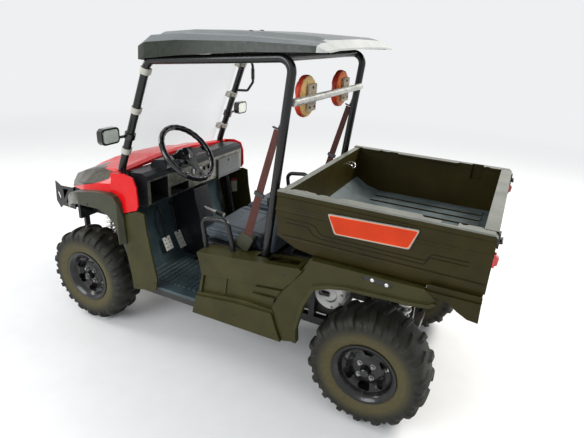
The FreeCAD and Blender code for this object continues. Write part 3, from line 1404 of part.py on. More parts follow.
def bed_side():
    """Left side of the bed: a stepped section along the vehicle, trimmed to the side's outline."""
    half = d.bed_half
    low = d.bed_low_z
    front = d.bed_front_y
    rear = d.bed_rear_y
    top = d.bed_rail_z
    inner = half - d.bed_wall
    section = [(inner, low - 2), (half - 14, low - 2), (half - 2, 936), (half - 2, 943), (half - 9, 950),
               (half - 6, 1070), (half - 2, 1077), (half - 2, 1083), (half - 9, 1090), (half - 7, top - 36),
               (half, top - 28), (half, top - 7), (half - 6, top + 2), (inner, top + 2)]
    outline = [(front, top), (front - 8, top - 100), (front + 6, 944), (front + 108, 891),
               (front + 194, low), (rear - 8, low), (rear - 2, 968), (rear, top - 16), (rear - 14, top)]
    bar = panel("bed_side_section", "XZ", section, front - 20, rear - front + 40)
    trim = panel("bed_side_outline", "YZ", outline, inner - 10, d.bed_wall + 20)
    side = meet("bed_side", bar, trim)
    # columns: start of a bulge of the rail into the bed, its end, how far it reaches in
    bulges = ((69, 174, 16), (210, 241, 12), (311, 675, 24), (778, 835, 16), (872, 920, 16))
    scallop = []
    for start, end, reach in bulges:
        scallop += [(inner, front + start - 14), (inner - reach, front + start),
                    (inner - reach, front + end), (inner, front + end + 14)]
    ledge = [(inner + 12, front + 45), *scallop, (inner + 12, front + 940)]
    rail = panel("bed_rail_top", "XY", ledge, top - 12, 12)
    stake = block("bed_stake_pocket", (inner - 30, front + 764, top - 96),
                  (inner + 26, front + 831, top + 30))
    return less("bed_side_pierced", joined("bed_side_full", [side, rail]), stake)


def make_bed():
    """Cargo bed tub: ribbed floor and sloped nose in one sheet between stepped double walls."""
    half = d.bed_half
    wall = d.bed_wall
    low = d.bed_low_z
    floor_top = low + d.bed_floor_wall
    front = d.bed_front_y
    rear = d.bed_rear_y
    top = d.bed_rail_z
    left = bed_side()
    gate_y = rear - d.tailgate_wall - d.tailgate_gap
    sheet = [(front + 5, top - 5), (front + 40, top - 5), (front + 40, 972), (front + 124, 922),
             (front + 206, floor_top), (gate_y, floor_top), (gate_y, low + 5), (front + 196, low + 5),
             (front + 112, 897), (front + 12, 948), (front - 1, top - 100)]
    floor = panel("bed_floor", "YZ", sheet, -(half - wall + 5), (half - wall + 5) * 2)
    rib_count = 10
    pitch = 2 * (half - wall - 40) / rib_count
    rows = [wall + 40 - half + pitch * (i + 0.16) for i in range(rib_count)]
    ribs = [block(f"bed_rib_{i}", (x, front + 214, floor_top - 1),
                  (x + pitch * 0.68, gate_y - 44, floor_top + 9)) for i, x in enumerate(rows)]
    under = low - 35.7
    runner = block("bed_runner", (d.rail_x - 20, front + 150, under),
                   (d.rail_x + 20, d.bed_hinge_y - 24, low + 9))
    ear = joined("bed_ear", [
        block("bed_ear_web", (d.rail_x - 12, d.bed_hinge_y - 30, under + 5),
              (d.rail_x + 12, d.bed_hinge_y, low - 6)),
        rod("bed_ear_eye", (d.rail_x - 12, d.bed_hinge_y, d.bed_hinge_z), "X", 24, 17),
    ])
    gate_pin = rod("gate_pin", (half - wall - 24, rear - 18, low + 22), "X", 28, d.hinge_pin)
    solid_side = joined("bed_left_parts", [left, runner, ear, gate_pin])
    whole = joined("bed_solid", [solid_side, mirrored(solid_side), floor, *ribs])
    bore = rod("bed_hinge_bore", (d.rail_x - 30, d.bed_hinge_y, d.bed_hinge_z), "X", 60,
               d.hinge_pin + d.running_gap)
    node("bed_tub", less("bed_tub", whole, pair("bed_hinge_bores", bore)))


def make_tailgate():
    """Tailgate between the bed sides, with a wide top and a recessed outer face."""
    half = d.bed_half - d.bed_wall - d.tailgate_gap
    rear = d.bed_rear_y
    low = d.bed_low_z + 6
    gate = block("gate_plate", (-half, rear - d.tailgate_wall, low), (half, rear, d.bed_rail_z))
    recess = block("gate_recess", (-(half - 60), rear - 12, low + 50),
                   (half - 60, rear + 10, d.bed_rail_z - 60))
    inner = block("gate_inner", (-(half - 60), rear - d.tailgate_wall - 10, low + 40),
                  (half - 60, rear - d.tailgate_wall + 10, d.bed_rail_z - 40))
    bore = rod("gate_bore", (half - 20, rear - 18, d.bed_low_z + 22), "X", 60, d.hinge_pin + d.running_gap)
    foot = block("gate_foot", (-(half + 1), rear - d.tailgate_wall - 1, low - 1),
                 (half + 1, rear - 40, low + 8))
    shell = less("gate_shell", gate, joined("gate_recesses", [recess, inner, bore, mirrored(bore), foot]))
    node("tailgate", shell)
    latch = joined("latch_left", [
        block("latch_plate", (half - 44, rear + 0.3, 1100), (half - 6, rear + 8, 1166)),
        rod("latch_handle", (half - 60, rear + 15, 1130), "X", 58, 6),
        block("latch_arm", (half - 34, rear + 6, 1118), (half - 16, rear + 16, 1142)),
    ])
    node("gate_latches", pair("gate_latches", latch))


def make_lamps():
    """Small upright tail lamps on the rear edges of the bed sides."""
    rear = d.bed_rear_y
    inner = d.bed_half - d.bed_wall + 4
    base = block("tail_base", (inner, rear - 0.5, 1032), (inner + 34, rear + 8, 1092))
    glass = [(rear + 6, 1038), (rear + 18, 1046), (rear + 20, 1076), (rear + 6, 1086)]
    lens = panel("tail_lens", "YZ", glass, inner + 4, 26)
    node("tail_lamps", pair("tail_lamps", joined("tail_lamp_left", [base, lens])))


def make_all():
    """Every sub-part of the vehicle."""
    make_wheels()
    make_frame()
    make_engine()
    make_clutch_cover()
    make_drives()
    make_arms()
    make_dampers()
    make_hubs()
    make_rack()
    make_bumper()
    make_hood()
    make_front_panel()
    make_leg_panels()
    make_flares()
    make_floor()
    make_tunnel()
    make_dash()
    make_glovebox()
    make_steering()
    make_controls()
    make_seat_base()
    make_seats()
    make_hip_hoops()
    make_belts()
    make_cage()
    make_cross_bar()
    make_headrests()
    make_roof()
    make_windscreen()
    make_mirrors()
    make_grab_handles()
    make_rockers(make_rear_fenders())
    make_bed()
    make_tailgate()
    make_lamps()


def write_parts():
    """Check every object and sub-part, then write one STEP file for each sub-part."""
    doc.recompute()
    failed = [item.Label for item in doc.Objects if "Invalid" in item.State or "Error" in item.State]
    if failed:
        raise RuntimeError("failed objects: " + ", ".join(failed))
    for name, item in NODES.items():
        if item.Shape.isNull() or not item.Shape.isValid() or not item.Shape.Solids:
            raise RuntimeError("sub-part without a valid solid: " + name)
    os.makedirs("parts", exist_ok=True)
    for name, item in NODES.items():
        item.Shape.exportStep(f"parts/{name}.step")


make_all()
write_parts()
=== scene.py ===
import json
import math

import bmesh
import bpy
import numpy as np
from mathutils import Matrix, Vector
from mathutils.bvhtree import BVHTree


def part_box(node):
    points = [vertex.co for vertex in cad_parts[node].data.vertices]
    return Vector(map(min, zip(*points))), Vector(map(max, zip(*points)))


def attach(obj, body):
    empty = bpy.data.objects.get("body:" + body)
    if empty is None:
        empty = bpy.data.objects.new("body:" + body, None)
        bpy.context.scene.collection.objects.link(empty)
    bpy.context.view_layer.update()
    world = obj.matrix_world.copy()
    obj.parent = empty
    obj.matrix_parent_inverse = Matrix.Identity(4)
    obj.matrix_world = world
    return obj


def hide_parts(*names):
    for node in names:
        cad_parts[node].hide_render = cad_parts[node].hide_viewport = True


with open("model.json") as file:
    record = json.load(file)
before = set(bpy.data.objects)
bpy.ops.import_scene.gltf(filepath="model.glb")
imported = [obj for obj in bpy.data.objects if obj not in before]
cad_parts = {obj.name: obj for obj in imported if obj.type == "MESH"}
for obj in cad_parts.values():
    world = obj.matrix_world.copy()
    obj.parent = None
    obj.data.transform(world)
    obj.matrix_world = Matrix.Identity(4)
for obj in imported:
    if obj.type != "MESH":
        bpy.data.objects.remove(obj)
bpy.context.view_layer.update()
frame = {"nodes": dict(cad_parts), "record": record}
NODES = frame["nodes"]
MM = 0.001


# Materials

FINE_SPECKS = 55.0   # fine noise, specks to a metre
GRAIN_DEPTH = 0.8 * MM
PLASTIC_IOR = 1.45


def material(name, base, rough, metal=0.0, coat=0.0, coat_rough=0.08, mottle=0.25, grain=0.0,
             grain_size=0.0015, dust=0.0, dust_color=(0.33, 0.27, 0.18), alpha=1.0, specular=0.5,
             stains=6.0, layer=None):
    """Layered finish: mottled base, grain bump, dust that gathers on faces that look up, painted layer.

    The base runs from (1 - mottle) to (1 + mottle) times its colour with broad noise, whose patches
    are 1 / stains metres across. Roughness rises from 0.07 under to 0.09 over its middle with fine
    noise. The layer is a point attribute's name, its colour, and how unbroken it is where noise is
    lowest.
    """
    mat = bpy.data.materials.new(name)
    mat.use_nodes = True
    tree = mat.node_tree
    tree.nodes.clear()
    out = tree.nodes.new("ShaderNodeOutputMaterial")
    shader = tree.nodes.new("ShaderNodeBsdfPrincipled")
    tree.links.new(shader.outputs[0], out.inputs[0])
    coords = tree.nodes.new("ShaderNodeTexCoord")
    broad = noise_node(tree, coords, stains, 5.0, 0.6)
    fine = noise_node(tree, coords, FINE_SPECKS, 4.0, 0.65)
    dark = tuple(c * (1.0 - mottle) for c in base)
    light = tuple(min(1.0, c * (1.0 + mottle)) for c in base)
    ramp = color_ramp(tree, broad.outputs["Fac"], ((0.3, dark), (0.7, light)))
    color = ramp.outputs["Color"]
    rough_low = max(0.02, rough - 0.07)
    rough_map = range_node(tree, fine.outputs["Fac"], 0.3, 0.7, rough_low, min(1.0, rough + 0.09))
    rough_out = rough_map.outputs["Result"]
    if dust > 0.0:
        mask = dust_mask(tree, broad, fine, dust)
        color = mix_color(tree, mask, color, dust_color)
        rough_out = mix_value(tree, mask, rough_out, 0.9)
    if layer:
        attribute, layer_color, broken = layer
        share = tree.nodes.new("ShaderNodeAttribute")
        share.attribute_name = attribute
        patch = range_node(tree, fine.outputs["Fac"], 0.25, 0.75, broken, 1.0)
        mask = math_node(tree, "MULTIPLY", share.outputs["Fac"], patch.outputs["Result"])
        color = mix_color(tree, mask, color, layer_color)
    tree.links.new(color, shader.inputs["Base Color"])
    tree.links.new(rough_out, shader.inputs["Roughness"])
    plain_values = (("Metallic", metal), ("Coat Weight", coat), ("Coat Roughness", coat_rough),
                    ("IOR", PLASTIC_IOR), ("Specular IOR Level", specular), ("Alpha", alpha))
    for key, value in plain_values:
        shader.inputs[key].default_value = value
    if grain > 0.0:
        pebble = noise_node(tree, coords, 1.0 / grain_size, 2.0, 0.5)
        bump = tree.nodes.new("ShaderNodeBump")
        bump.inputs["Strength"].default_value = grain
        bump.inputs["Distance"].default_value = GRAIN_DEPTH
        tree.links.new(pebble.outputs["Fac"], bump.inputs["Height"])
        tree.links.new(bump.outputs["Normal"], shader.inputs["Normal"])
    return mat


def noise_node(tree, coords, scale, detail, roughness):
    """Noise over the piece's own coordinates."""
    node = tree.nodes.new("ShaderNodeTexNoise")
    node.inputs["Scale"].default_value = scale
    node.inputs["Detail"].default_value = detail
    node.inputs["Roughness"].default_value = roughness
    tree.links.new(coords.outputs["Object"], node.inputs["Vector"])
    return node


def color_ramp(tree, factor, stops):
    """Colours laid at their places between 0 and 1, blended in straight lines."""
    node = tree.nodes.new("ShaderNodeValToRGB")
    elements = node.color_ramp.elements
    while len(elements) < len(stops):
        elements.new(0.5)
    for element, (place, color) in zip(elements, stops):
        element.position = place
        element.color = (*color, 1.0)
    tree.links.new(factor, node.inputs["Fac"])
    return node


def range_node(tree, value, low, high, to_low, to_high):
    """Value from low to high turned into to_low to to_high in a straight line, and held beyond."""
    node = tree.nodes.new("ShaderNodeMapRange")
    for key, number in zip(("From Min", "From Max", "To Min", "To Max"), (low, high, to_low, to_high)):
        node.inputs[key].default_value = number
    tree.links.new(value, node.inputs["Value"])
    return node


def math_node(tree, operation, first, second):
    """One sum of two values or sockets, held between 0 and 1."""
    node = tree.nodes.new("ShaderNodeMath")
    node.operation = operation
    node.use_clamp = True
    for index, value in enumerate((first, second)):
        if isinstance(value, (int, float)):
            node.inputs[index].default_value = value
        else:
            tree.links.new(value, node.inputs[index])
    return node.outputs["Value"]


def mix_color(tree, factor, first, second):
    """Two colours mixed: (1 - factor) first + factor second."""
    node = tree.nodes.new("ShaderNodeMix")
    node.data_type = "RGBA"
    tree.links.new(factor, node.inputs["Factor"])
    for key, value in ((6, first), (7, second)):
        if isinstance(value, tuple):
            node.inputs[key].default_value = (*value, 1.0)
        else:
            tree.links.new(value, node.inputs[key])
    return node.outputs[2]


def mix_value(tree, factor, first, second):
    """A value drawn towards a second one: (1 - factor) first + factor second."""
    node = tree.nodes.new("ShaderNodeMix")
    tree.links.new(factor, node.inputs["Factor"])
    tree.links.new(first, node.inputs[2])
    node.inputs[3].default_value = second
    return node.outputs[0]


def dust_mask(tree, broad, fine, amount):
    """Dust share of a point: how far its face looks up, times broken noise."""
    geometry = tree.nodes.new("ShaderNodeNewGeometry")
    parts = tree.nodes.new("ShaderNodeSeparateXYZ")
    tree.links.new(geometry.outputs["Normal"], parts.inputs["Vector"])
    up = range_node(tree, parts.outputs["Z"], -0.2, 1.0, 0.12, 1.0)
    patch = range_node(tree, broad.outputs["Fac"], 0.38, 0.68, 0.15, 1.0)
    speck = range_node(tree, fine.outputs["Fac"], 0.35, 0.7, 0.4, 1.0)
    mixed = math_node(tree, "MULTIPLY", up.outputs["Result"], patch.outputs["Result"])
    mixed = math_node(tree, "MULTIPLY", mixed, speck.outputs["Result"])
    return math_node(tree, "MULTIPLY", mixed, amount)


def make_materials():
    """Every finish of the vehicle by name."""
    dusty = (0.26, 0.22, 0.15)
    return {
        "rubber": material("rubber", (0.013, 0.013, 0.010), 0.62, grain=0.45, grain_size=0.003, dust=0.16,
                           dust_color=(0.12, 0.11, 0.06), stains=9.0, specular=0.35,
                           layer=("soil", (0.085, 0.072, 0.026), 0.45)),
        "rim": material("rim_paint", (0.006, 0.006, 0.006), 0.30, coat=0.35, mottle=0.1, specular=0.35),
        "frame": material("frame_paint", (0.010, 0.010, 0.011), 0.34, coat=0.2, grain=0.08, dust=0.22,
                          dust_color=dusty, specular=0.4),
        "cage": material("cage_paint", (0.007, 0.007, 0.007), 0.30, coat=0.25, grain=0.1, mottle=0.1,
                         specular=0.35),
        "red": material("red_paint", (0.58, 0.003, 0.005), 0.30, coat=0.22, coat_rough=0.05, mottle=0.05,
                        specular=0.18, dust=0.03, dust_color=(0.5, 0.30, 0.24)),
        "bed": material("bed_plastic", (0.022, 0.017, 0.002), 0.42, mottle=0.2, grain=0.14, dust=0.06,
                        dust_color=(0.20, 0.17, 0.08), specular=0.2),
        # painted highlight: pale grey for the light on the bed's rail tops and the tailgate's inner face
        "bed_painted_highlight": material("bed_rail_painted_highlight", (0.15, 0.155, 0.13), 0.36, mottle=0.3, grain=0.1,
                            specular=0.45, stains=5.0),
        # dust and painted sheen: a lighter blue-grey on the bed floor's upward faces, partly dust, partly
        # painted sky sheen
        "bed_floor": material("bed_floor_plastic", (0.085, 0.106, 0.110), 0.38, mottle=0.3, grain=0.2,
                              dust=0.2, dust_color=(0.18, 0.19, 0.16), specular=0.4, stains=9.0),
        "fender": material("fender_plastic", (0.031, 0.028, 0.005), 0.36, mottle=0.2, grain=0.12, dust=0.08,
                           dust_color=(0.25, 0.24, 0.12), specular=0.26),
        "flare": material("flare_plastic", (0.030, 0.031, 0.016), 0.32, mottle=0.15, grain=0.08, dust=0.2,
                          dust_color=(0.24, 0.26, 0.21), specular=0.32),
        "trim": material("trim_plastic", (0.009, 0.010, 0.012), 0.32, mottle=0.2, grain=0.14, dust=0.10,
                         dust_color=(0.20, 0.20, 0.19), specular=0.35),
        # painted reflection: pale beige with strong mottle stands for glossy crumpled reflections on the
        # lower dash
        "stack": material("centre_painted_reflection", (0.11, 0.105, 0.080), 0.24, mottle=0.75, grain=0.1, stains=13.0,
                          coat=0.4, specular=0.5),
        "floor": material("floor_plastic", (0.034, 0.057, 0.065), 0.32, mottle=0.3, grain=0.2, dust=0.22,
                          dust_color=(0.20, 0.22, 0.22), specular=0.45),
        "roof": material("roof_plastic", (0.012, 0.017, 0.010), 0.30, mottle=0.2, grain=0.05,
                         specular=0.3),
        # painted light: a lighter blue-grey on the roof's upward faces for the light on its top
        "roof_painted_top_light": material("roof_top_painted_light", (0.12, 0.135, 0.135), 0.34, mottle=0.15, grain=0.05,
                             specular=0.4, stains=3.0),
        # painted light: pale grey on the roof's rear-facing faces for the light on them, with dust mottled
        # over it
        "roof_rear_painted_light": material("roof_apron_painted_light", (0.42, 0.43, 0.41), 0.34, mottle=0.1, grain=0.08, dust=0.12,
                          dust_color=(0.5, 0.5, 0.46)),
        "slate": material("slate_plastic", (0.045, 0.052, 0.052), 0.30, grain=0.1, mottle=0.3, coat=0.3),
        "vinyl": material("seat_vinyl", (0.032, 0.044, 0.056), 0.36, grain=0.55, grain_size=0.0022,
                          dust=0.12, dust_color=(0.16, 0.18, 0.2), specular=0.45),
        "silver": material("silver_metal", (0.74, 0.74, 0.71), 0.34, metal=0.65, mottle=0.12, dust=0.15,
                           dust_color=(0.36, 0.31, 0.22)),
        "steel": material("steel_metal", (0.38, 0.38, 0.37), 0.36, metal=1.0, mottle=0.2, dust=0.3,
                          dust_color=(0.30, 0.26, 0.19)),
        "bar": material("bar_metal", (0.46, 0.46, 0.43), 0.34, metal=0.6, mottle=0.3, stains=24.0),
        "tan": material("plate_metal", (0.26, 0.21, 0.14), 0.4, metal=0.3, mottle=0.3, stains=24.0),
        "zinc": material("zinc_metal", (0.72, 0.72, 0.70), 0.28, metal=1.0, mottle=0.15),
        "bolt": material("bolt_metal", (0.30, 0.30, 0.29), 0.34, metal=1.0, mottle=0.3, dust=0.2,
                         dust_color=dusty),
        "glass": material("clear_sheet", (0.90, 0.94, 0.94), 0.05, mottle=0.03, alpha=0.13, specular=0.5),
        "mirror": material("mirror_glass", (0.72, 0.77, 0.68), 0.10, metal=0.25, mottle=0.12, coat=0.6,
                           stains=22.0),
        "lens": material("smoked_lens", (0.022, 0.017, 0.002), 0.22, coat=0.12, coat_rough=0.1, mottle=0.6,
                         stains=9.0, specular=0.2),
        "lamp": material("lamp_red", (0.45, 0.010, 0.012), 0.12, coat=1.0, mottle=0.3, stains=40.0),
        "webbing": material("dark_red_webbing", (0.060, 0.010, 0.004), 0.6, mottle=0.3, grain=0.7,
                            grain_size=0.0011, stains=20.0),
        "pad_near": material("pad_cover_left", (0.46, 0.035, 0.016), 0.42, grain=0.4, grain_size=0.002,
                             mottle=0.25, specular=0.3, layer=("back", (0.70, 0.47, 0.17), 0.9)),
        "pad_far": material("pad_cover_right", (0.46, 0.035, 0.016), 0.42, grain=0.4, grain_size=0.002,
                            mottle=0.25, specular=0.3, layer=("back", (0.62, 0.15, 0.035), 0.9)),
        "clip": material("clip_plastic", (0.42, 0.41, 0.36), 0.34, coat=0.2, mottle=0.1),
        "engine": material("cast_metal", (0.09, 0.09, 0.09), 0.52, metal=0.6, grain=0.6, grain_size=0.004,
                           dust=0.35, dust_color=dusty),
        "boot": material("boot_rubber", (0.014, 0.014, 0.014), 0.55, grain=0.25, dust=0.25,
                         dust_color=dusty),
        "badge": material("badge_orange", (0.50, 0.034, 0.005), 0.36, mottle=0.14, specular=0.2),
        "badge_line": material("badge_line", (0.70, 0.26, 0.12), 0.4, mottle=0.1, specular=0.2),
        "edge": material("badge_edge", (0.26, 0.27, 0.27), 0.32, coat=0.3, mottle=0.1),
        "black": material("gloss_black", (0.005, 0.005, 0.006), 0.16, coat=0.6, mottle=0.1, specular=0.4),
        "dial": material("dial_glass", (0.30, 0.33, 0.31), 0.12, coat=0.8, mottle=0.3, stains=30.0),
        "pale": material("pale_panel", (0.42, 0.43, 0.41), 0.30, coat=0.4, mottle=0.25, stains=25.0),
        "pad_plate": material("pedal_plate", (0.80, 0.80, 0.75), 0.34, metal=0.2, mottle=0.1),
        "tick": material("dial_marks", (0.72, 0.74, 0.70), 0.4, mottle=0.06),
        # painted shade: near-black rods for the shade in the bed side's pressed lines
        "bed_crease_shade": material("bed_crease_shade", (0.007, 0.005, 0.001), 0.5, mottle=0.1, specular=0.15),
        "label": material("blank_label", (0.62, 0.60, 0.50), 0.5, mottle=0.08),
        "label_red": material("blank_label_head", (0.50, 0.05, 0.04), 0.5, mottle=0.1),
    }


MAT = make_materials()

# node: (finish, rounding width in millimetres or nothing)
NODE_FINISH = {
    "bed_tub": ("bed", 3.0), "belt_reels": ("flare", 2.0), "brake_lever": ("silver", None),
    "bumper": ("frame", 1.2), "cage": ("cage", None), "chassis_frame": ("frame", None),
    "clutch_cover": ("silver", 1.5), "cross_bar": ("bar", 1.0), "dash": ("trim", 4.0),
    "engine_block": ("engine", 6.0), "floor_pan": ("floor", 2.0), "front_arms": ("frame", None),
    "front_drive": ("engine", None), "front_flares": ("flare", 8.0), "front_panel": ("trim", 2.0),
    "gate_latches": ("black", 1.0), "glovebox_lid": ("slate", 1.0), "grab_handle": ("cage", None),
    "headlamps": ("lens", None), "hip_hoops": ("cage", None), "hood": ("red", 2.5),
    "knuckle_left": ("steel", None), "knuckle_right": ("steel", None), "leg_panels": ("fender", 3.0),
    "mirrors": ("black", None), "pedals": ("pad_plate", None), "rack_housing": ("engine", 2.0),
    "rear_arms": ("frame", None), "rear_carriers": ("steel", None), "rear_drive": ("engine", None),
    "rear_fenders": ("fender", 7.0), "rim_front_left": ("rim", None), "rim_front_right": ("rim", None),
    "rim_rear_left": ("rim", None), "rim_rear_right": ("rim", None), "rockers": ("fender", 4.0),
    "roof": ("roof", 3.0), "screen_clips": ("clip", 0.8), "seat_base": ("trim", 3.0),
    "steering_column": ("trim", None), "steering_wheel": ("black", 1.0), "tail_lamps": ("lamp", 1.5),
    "tailgate": ("bed", 4.0), "tie_rods": ("steel", None), "tunnel": ("trim", 6.0),
    "windscreen": ("glass", None),
}
BODY_OF = {node: body for body, nodes in frame["record"]["behaviour"]["bodies"].items() for node in nodes}
DRESSED = {}
CREASE = 32          # degrees, above which an edge of a CAD node stays sharp
ROUNDED_FROM = 26    # degrees, above which its edge is rounded


def dress_nodes():
    """Finish of every node that stays in view; one with a rounding width is shown by a rounded copy."""
    for name, (finish, width) in NODE_FINISH.items():
        obj = NODES[name]
        obj.data.materials.clear()
        obj.data.materials.append(MAT[finish])
        if width:
            rounded_copy(name, width * MM, finish)
        else:
            merged_copy(name, finish)


def smooth(obj, angle):
    """Shaded smooth, but sharp at edges that turn by more than the angle."""
    obj.data.shade_smooth()
    obj.data.set_sharp_from_angle(angle=math.radians(angle))


def merged_copy(name, finish):
    """Copy of a CAD node with its loose triangles joined, shaded smooth across shallow edges."""
    points, corners = node_mesh(name)
    mesh = bpy.data.meshes.new("dressed_" + name)
    mesh.from_pydata(points.tolist(), [], corners.tolist())
    bm = bmesh.new()
    bm.from_mesh(mesh)
    bmesh.ops.remove_doubles(bm, verts=bm.verts, dist=2e-6)
    bmesh.ops.dissolve_degenerate(bm, edges=bm.edges, dist=1e-6)
    bmesh.ops.dissolve_limit(bm, angle_limit=math.radians(0.4), verts=bm.verts, edges=bm.edges)
    bm.to_mesh(mesh)
    bm.free()
    obj = bpy.data.objects.new("dressed_" + name, mesh)
    bpy.context.scene.collection.objects.link(obj)
    mesh.materials.append(MAT[finish])
    smooth(obj, CREASE)
    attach(obj, BODY_OF[name])
    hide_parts(name)
    DRESSED[name] = obj
    return obj


def rounded_copy(name, width, finish, segments=2):
    """Merged copy with its sharp edges rounded to a width, its flat faces kept flat."""
    obj = merged_copy(name, finish)
    obj.data.shade_smooth()
    bevel = obj.modifiers.new("edges", "BEVEL")
    bevel.width = width
    bevel.segments = segments
    bevel.limit_method = "ANGLE"
    bevel.angle_limit = math.radians(ROUNDED_FROM)
    bevel.miter_outer = "MITER_ARC"
    weights = obj.modifiers.new("flats", "WEIGHTED_NORMAL")
    weights.keep_sharp = True
    return obj


def paint(name, finish, chosen):
    """Second finish on the faces of a dressed node that a test on centres and normals picks."""
    mesh = DRESSED[name].data
    count = len(mesh.polygons)
    centres = np.empty(count * 3)
    normals = np.empty(count * 3)
    mesh.polygons.foreach_get("center", centres)
    mesh.polygons.foreach_get("normal", normals)
    slots = np.empty(count, dtype=np.int32)
    mesh.polygons.foreach_get("material_index", slots)
    mesh.materials.append(MAT[finish])
    slots[chosen(centres.reshape(-1, 3), normals.reshape(-1, 3))] = len(mesh.materials) - 1
    mesh.polygons.foreach_set("material_index", slots)


def paint_nodes():
    """Painted highlight on the rail tops of the bed and tailgate and on the tailgate's inner face, a
    blue-grey bed floor of dust and painted sheen, painted light on the roof's top and rear face, and other
    second finishes.
    """
    inner, rail = 0.535, 1.16
    # dust and painted sheen on the bed floor's upward faces
    paint("bed_tub", "bed_floor",
          lambda c, n: (np.abs(c[:, 0]) < inner) & (c[:, 1] > 0.5) & (c[:, 2] > 0.89) & (n[:, 2] > 0.25))
    # painted highlight on the rail tops of the bed and tailgate, and on the tailgate's inner face
    paint("bed_tub", "bed_painted_highlight", lambda c, n: (c[:, 2] > rail) & (n[:, 2] > 0.5))
    paint("tailgate", "bed_painted_highlight", lambda c, n: (c[:, 2] > rail) & (n[:, 2] > 0.5))
    paint("tailgate", "bed_painted_highlight", lambda c, n: n[:, 1] < -0.6)
    # painted light on the roof's upward faces
    paint("roof", "roof_painted_top_light", lambda c, n: n[:, 2] > 0.62)
    paint("pedals", "trim", lambda c, n: c[:, 2] > 0.556)
    # painted reflection on the lower middle of the dash's rear-facing faces
    paint("dash", "stack", lambda c, n: (c[:, 2] < 0.985) & (np.abs(c[:, 0]) < 0.25) & (n[:, 1] > 0.2))
    paint("rear_fenders", "bed", lambda c, n: (c[:, 1] > 1.245) & (np.abs(c[:, 0]) > 0.58))
    paint("cross_bar", "tan", lambda c, n: c[:, 1] < 0.499)
    # painted light on the roof's rear-facing faces
    paint("roof", "roof_rear_painted_light", lambda c, n: (c[:, 1] > 0.60) & (n[:, 1] > 0.10))


# New pieces

def joined(parts):
    """One list of points and one of faces from several."""
    verts, faces, start = [], [], 0
    for points, polygons in parts:
        points = np.asarray(points, dtype=float).reshape(-1, 3)
        verts.append(points)
        faces += [tuple(start + index for index in face) for face in polygons]
        start += len(points)
    return np.concatenate(verts), faces


def add_mesh(name, shape, finish, body="root", angle=40, turn_out=True):
    """Piece from (points in metres in the row frame, faces), riding on a body."""
    verts, faces = shape
    mesh = bpy.data.meshes.new(name)
    mesh.from_pydata(np.asarray(verts, dtype=float).reshape(-1, 3).tolist(), [], faces)
    mesh.validate()
    if turn_out:
        bm = bmesh.new()
        bm.from_mesh(mesh)
        bmesh.ops.remove_doubles(bm, verts=bm.verts, dist=1e-6)
        bmesh.ops.recalc_face_normals(bm, faces=bm.faces)
        bm.to_mesh(mesh)
        bm.free()
    obj = bpy.data.objects.new(name, mesh)
    bpy.context.scene.collection.objects.link(obj)
    mesh.materials.append(MAT[finish])
    smooth(obj, angle)
    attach(obj, body)
    return obj


def grid_faces(rows, columns, close_rows=False, close_columns=False):
    """Quads over a grid of points, wrapped round either way."""
    row_count = rows if close_rows else rows - 1
    column_count = columns if close_columns else columns - 1
    i, j = np.meshgrid(np.arange(row_count), np.arange(column_count), indexing="ij")
    after_i = (i + 1) % rows
    after_j = (j + 1) % columns
    quads = np.stack([i * columns + j, i * columns + after_j, after_i * columns + after_j,
                      after_i * columns + j], axis=-1)
    return [tuple(quad) for quad in quads.reshape(-1, 4).tolist()]


def capped(rings, sides):
    """Faces of a tube of rings with so many points each, and a flat cap at each end."""
    count = len(rings)
    faces = grid_faces(count, sides, close_columns=True)
    faces.append(tuple(range(sides))[::-1])
    faces.append(tuple(range((count - 1) * sides, count * sides)))
    return faces


def smooth_line(points, steps):
    """Catmull-Rom curve through the points: a cubic from each to the next, in so many steps."""
    p = np.asarray(points, dtype=float)
    p = np.vstack([2 * p[0] - p[1], p, 2 * p[-1] - p[-2]])
    t = np.linspace(0, 1, steps, endpoint=False)[:, None, None]
    a, b, c, e = p[None, :-3], p[None, 1:-2], p[None, 2:-1], p[None, 3:]
    curve = 0.5 * (2 * b + (c - a) * t + (2 * a - 5 * b + 4 * c - e) * t ** 2
                   + (3 * b - a - 3 * c + e) * t ** 3)
    return np.vstack([curve.transpose(1, 0, 2).reshape(-1, p.shape[1]), p[-2]])


def frame_of(axis):
    """Two unit vectors across an axis, and the axis."""
    axis = np.asarray(axis, dtype=float)
    axis = axis / np.linalg.norm(axis)
    helper = np.array((0.0, 0.0, 1.0)) if abs(axis[2]) < 0.9 else np.array((1.0, 0.0, 0.0))
    u = np.cross(helper, axis)
    u /= np.linalg.norm(u)
    return u, np.cross(axis, u), axis


def pipe(path, radius, sides=12, closed=False):
    """Circle of the radius carried along a path: centre + radius (side cos a + up sin a), without twist."""
    path = np.asarray(path, dtype=float)
    ahead = np.roll(path, -1, axis=0) - np.roll(path, 1, axis=0)
    if not closed:
        ahead[0] = path[1] - path[0]
        ahead[-1] = path[-1] - path[-2]
    ahead /= np.linalg.norm(ahead, axis=1)[:, None]
    side = np.empty_like(path)
    carried = frame_of(ahead[0])[0]
    for index, run in enumerate(ahead):
        carried = carried - run * np.dot(carried, run)
        carried /= np.linalg.norm(carried)
        side[index] = carried
    up = np.cross(ahead, side)
    a = np.linspace(0, 2 * math.pi, sides, endpoint=False)[None, :, None]
    size = np.broadcast_to(np.asarray(radius, dtype=float), (len(path),))[:, None, None]
    rings = path[:, None] + size * (np.cos(a) * side[:, None] + np.sin(a) * up[:, None])
    if closed:
        faces = grid_faces(len(path), sides, close_rows=True, close_columns=True)
    else:
        faces = capped(rings, sides)
    return rings.reshape(-1, 3), faces


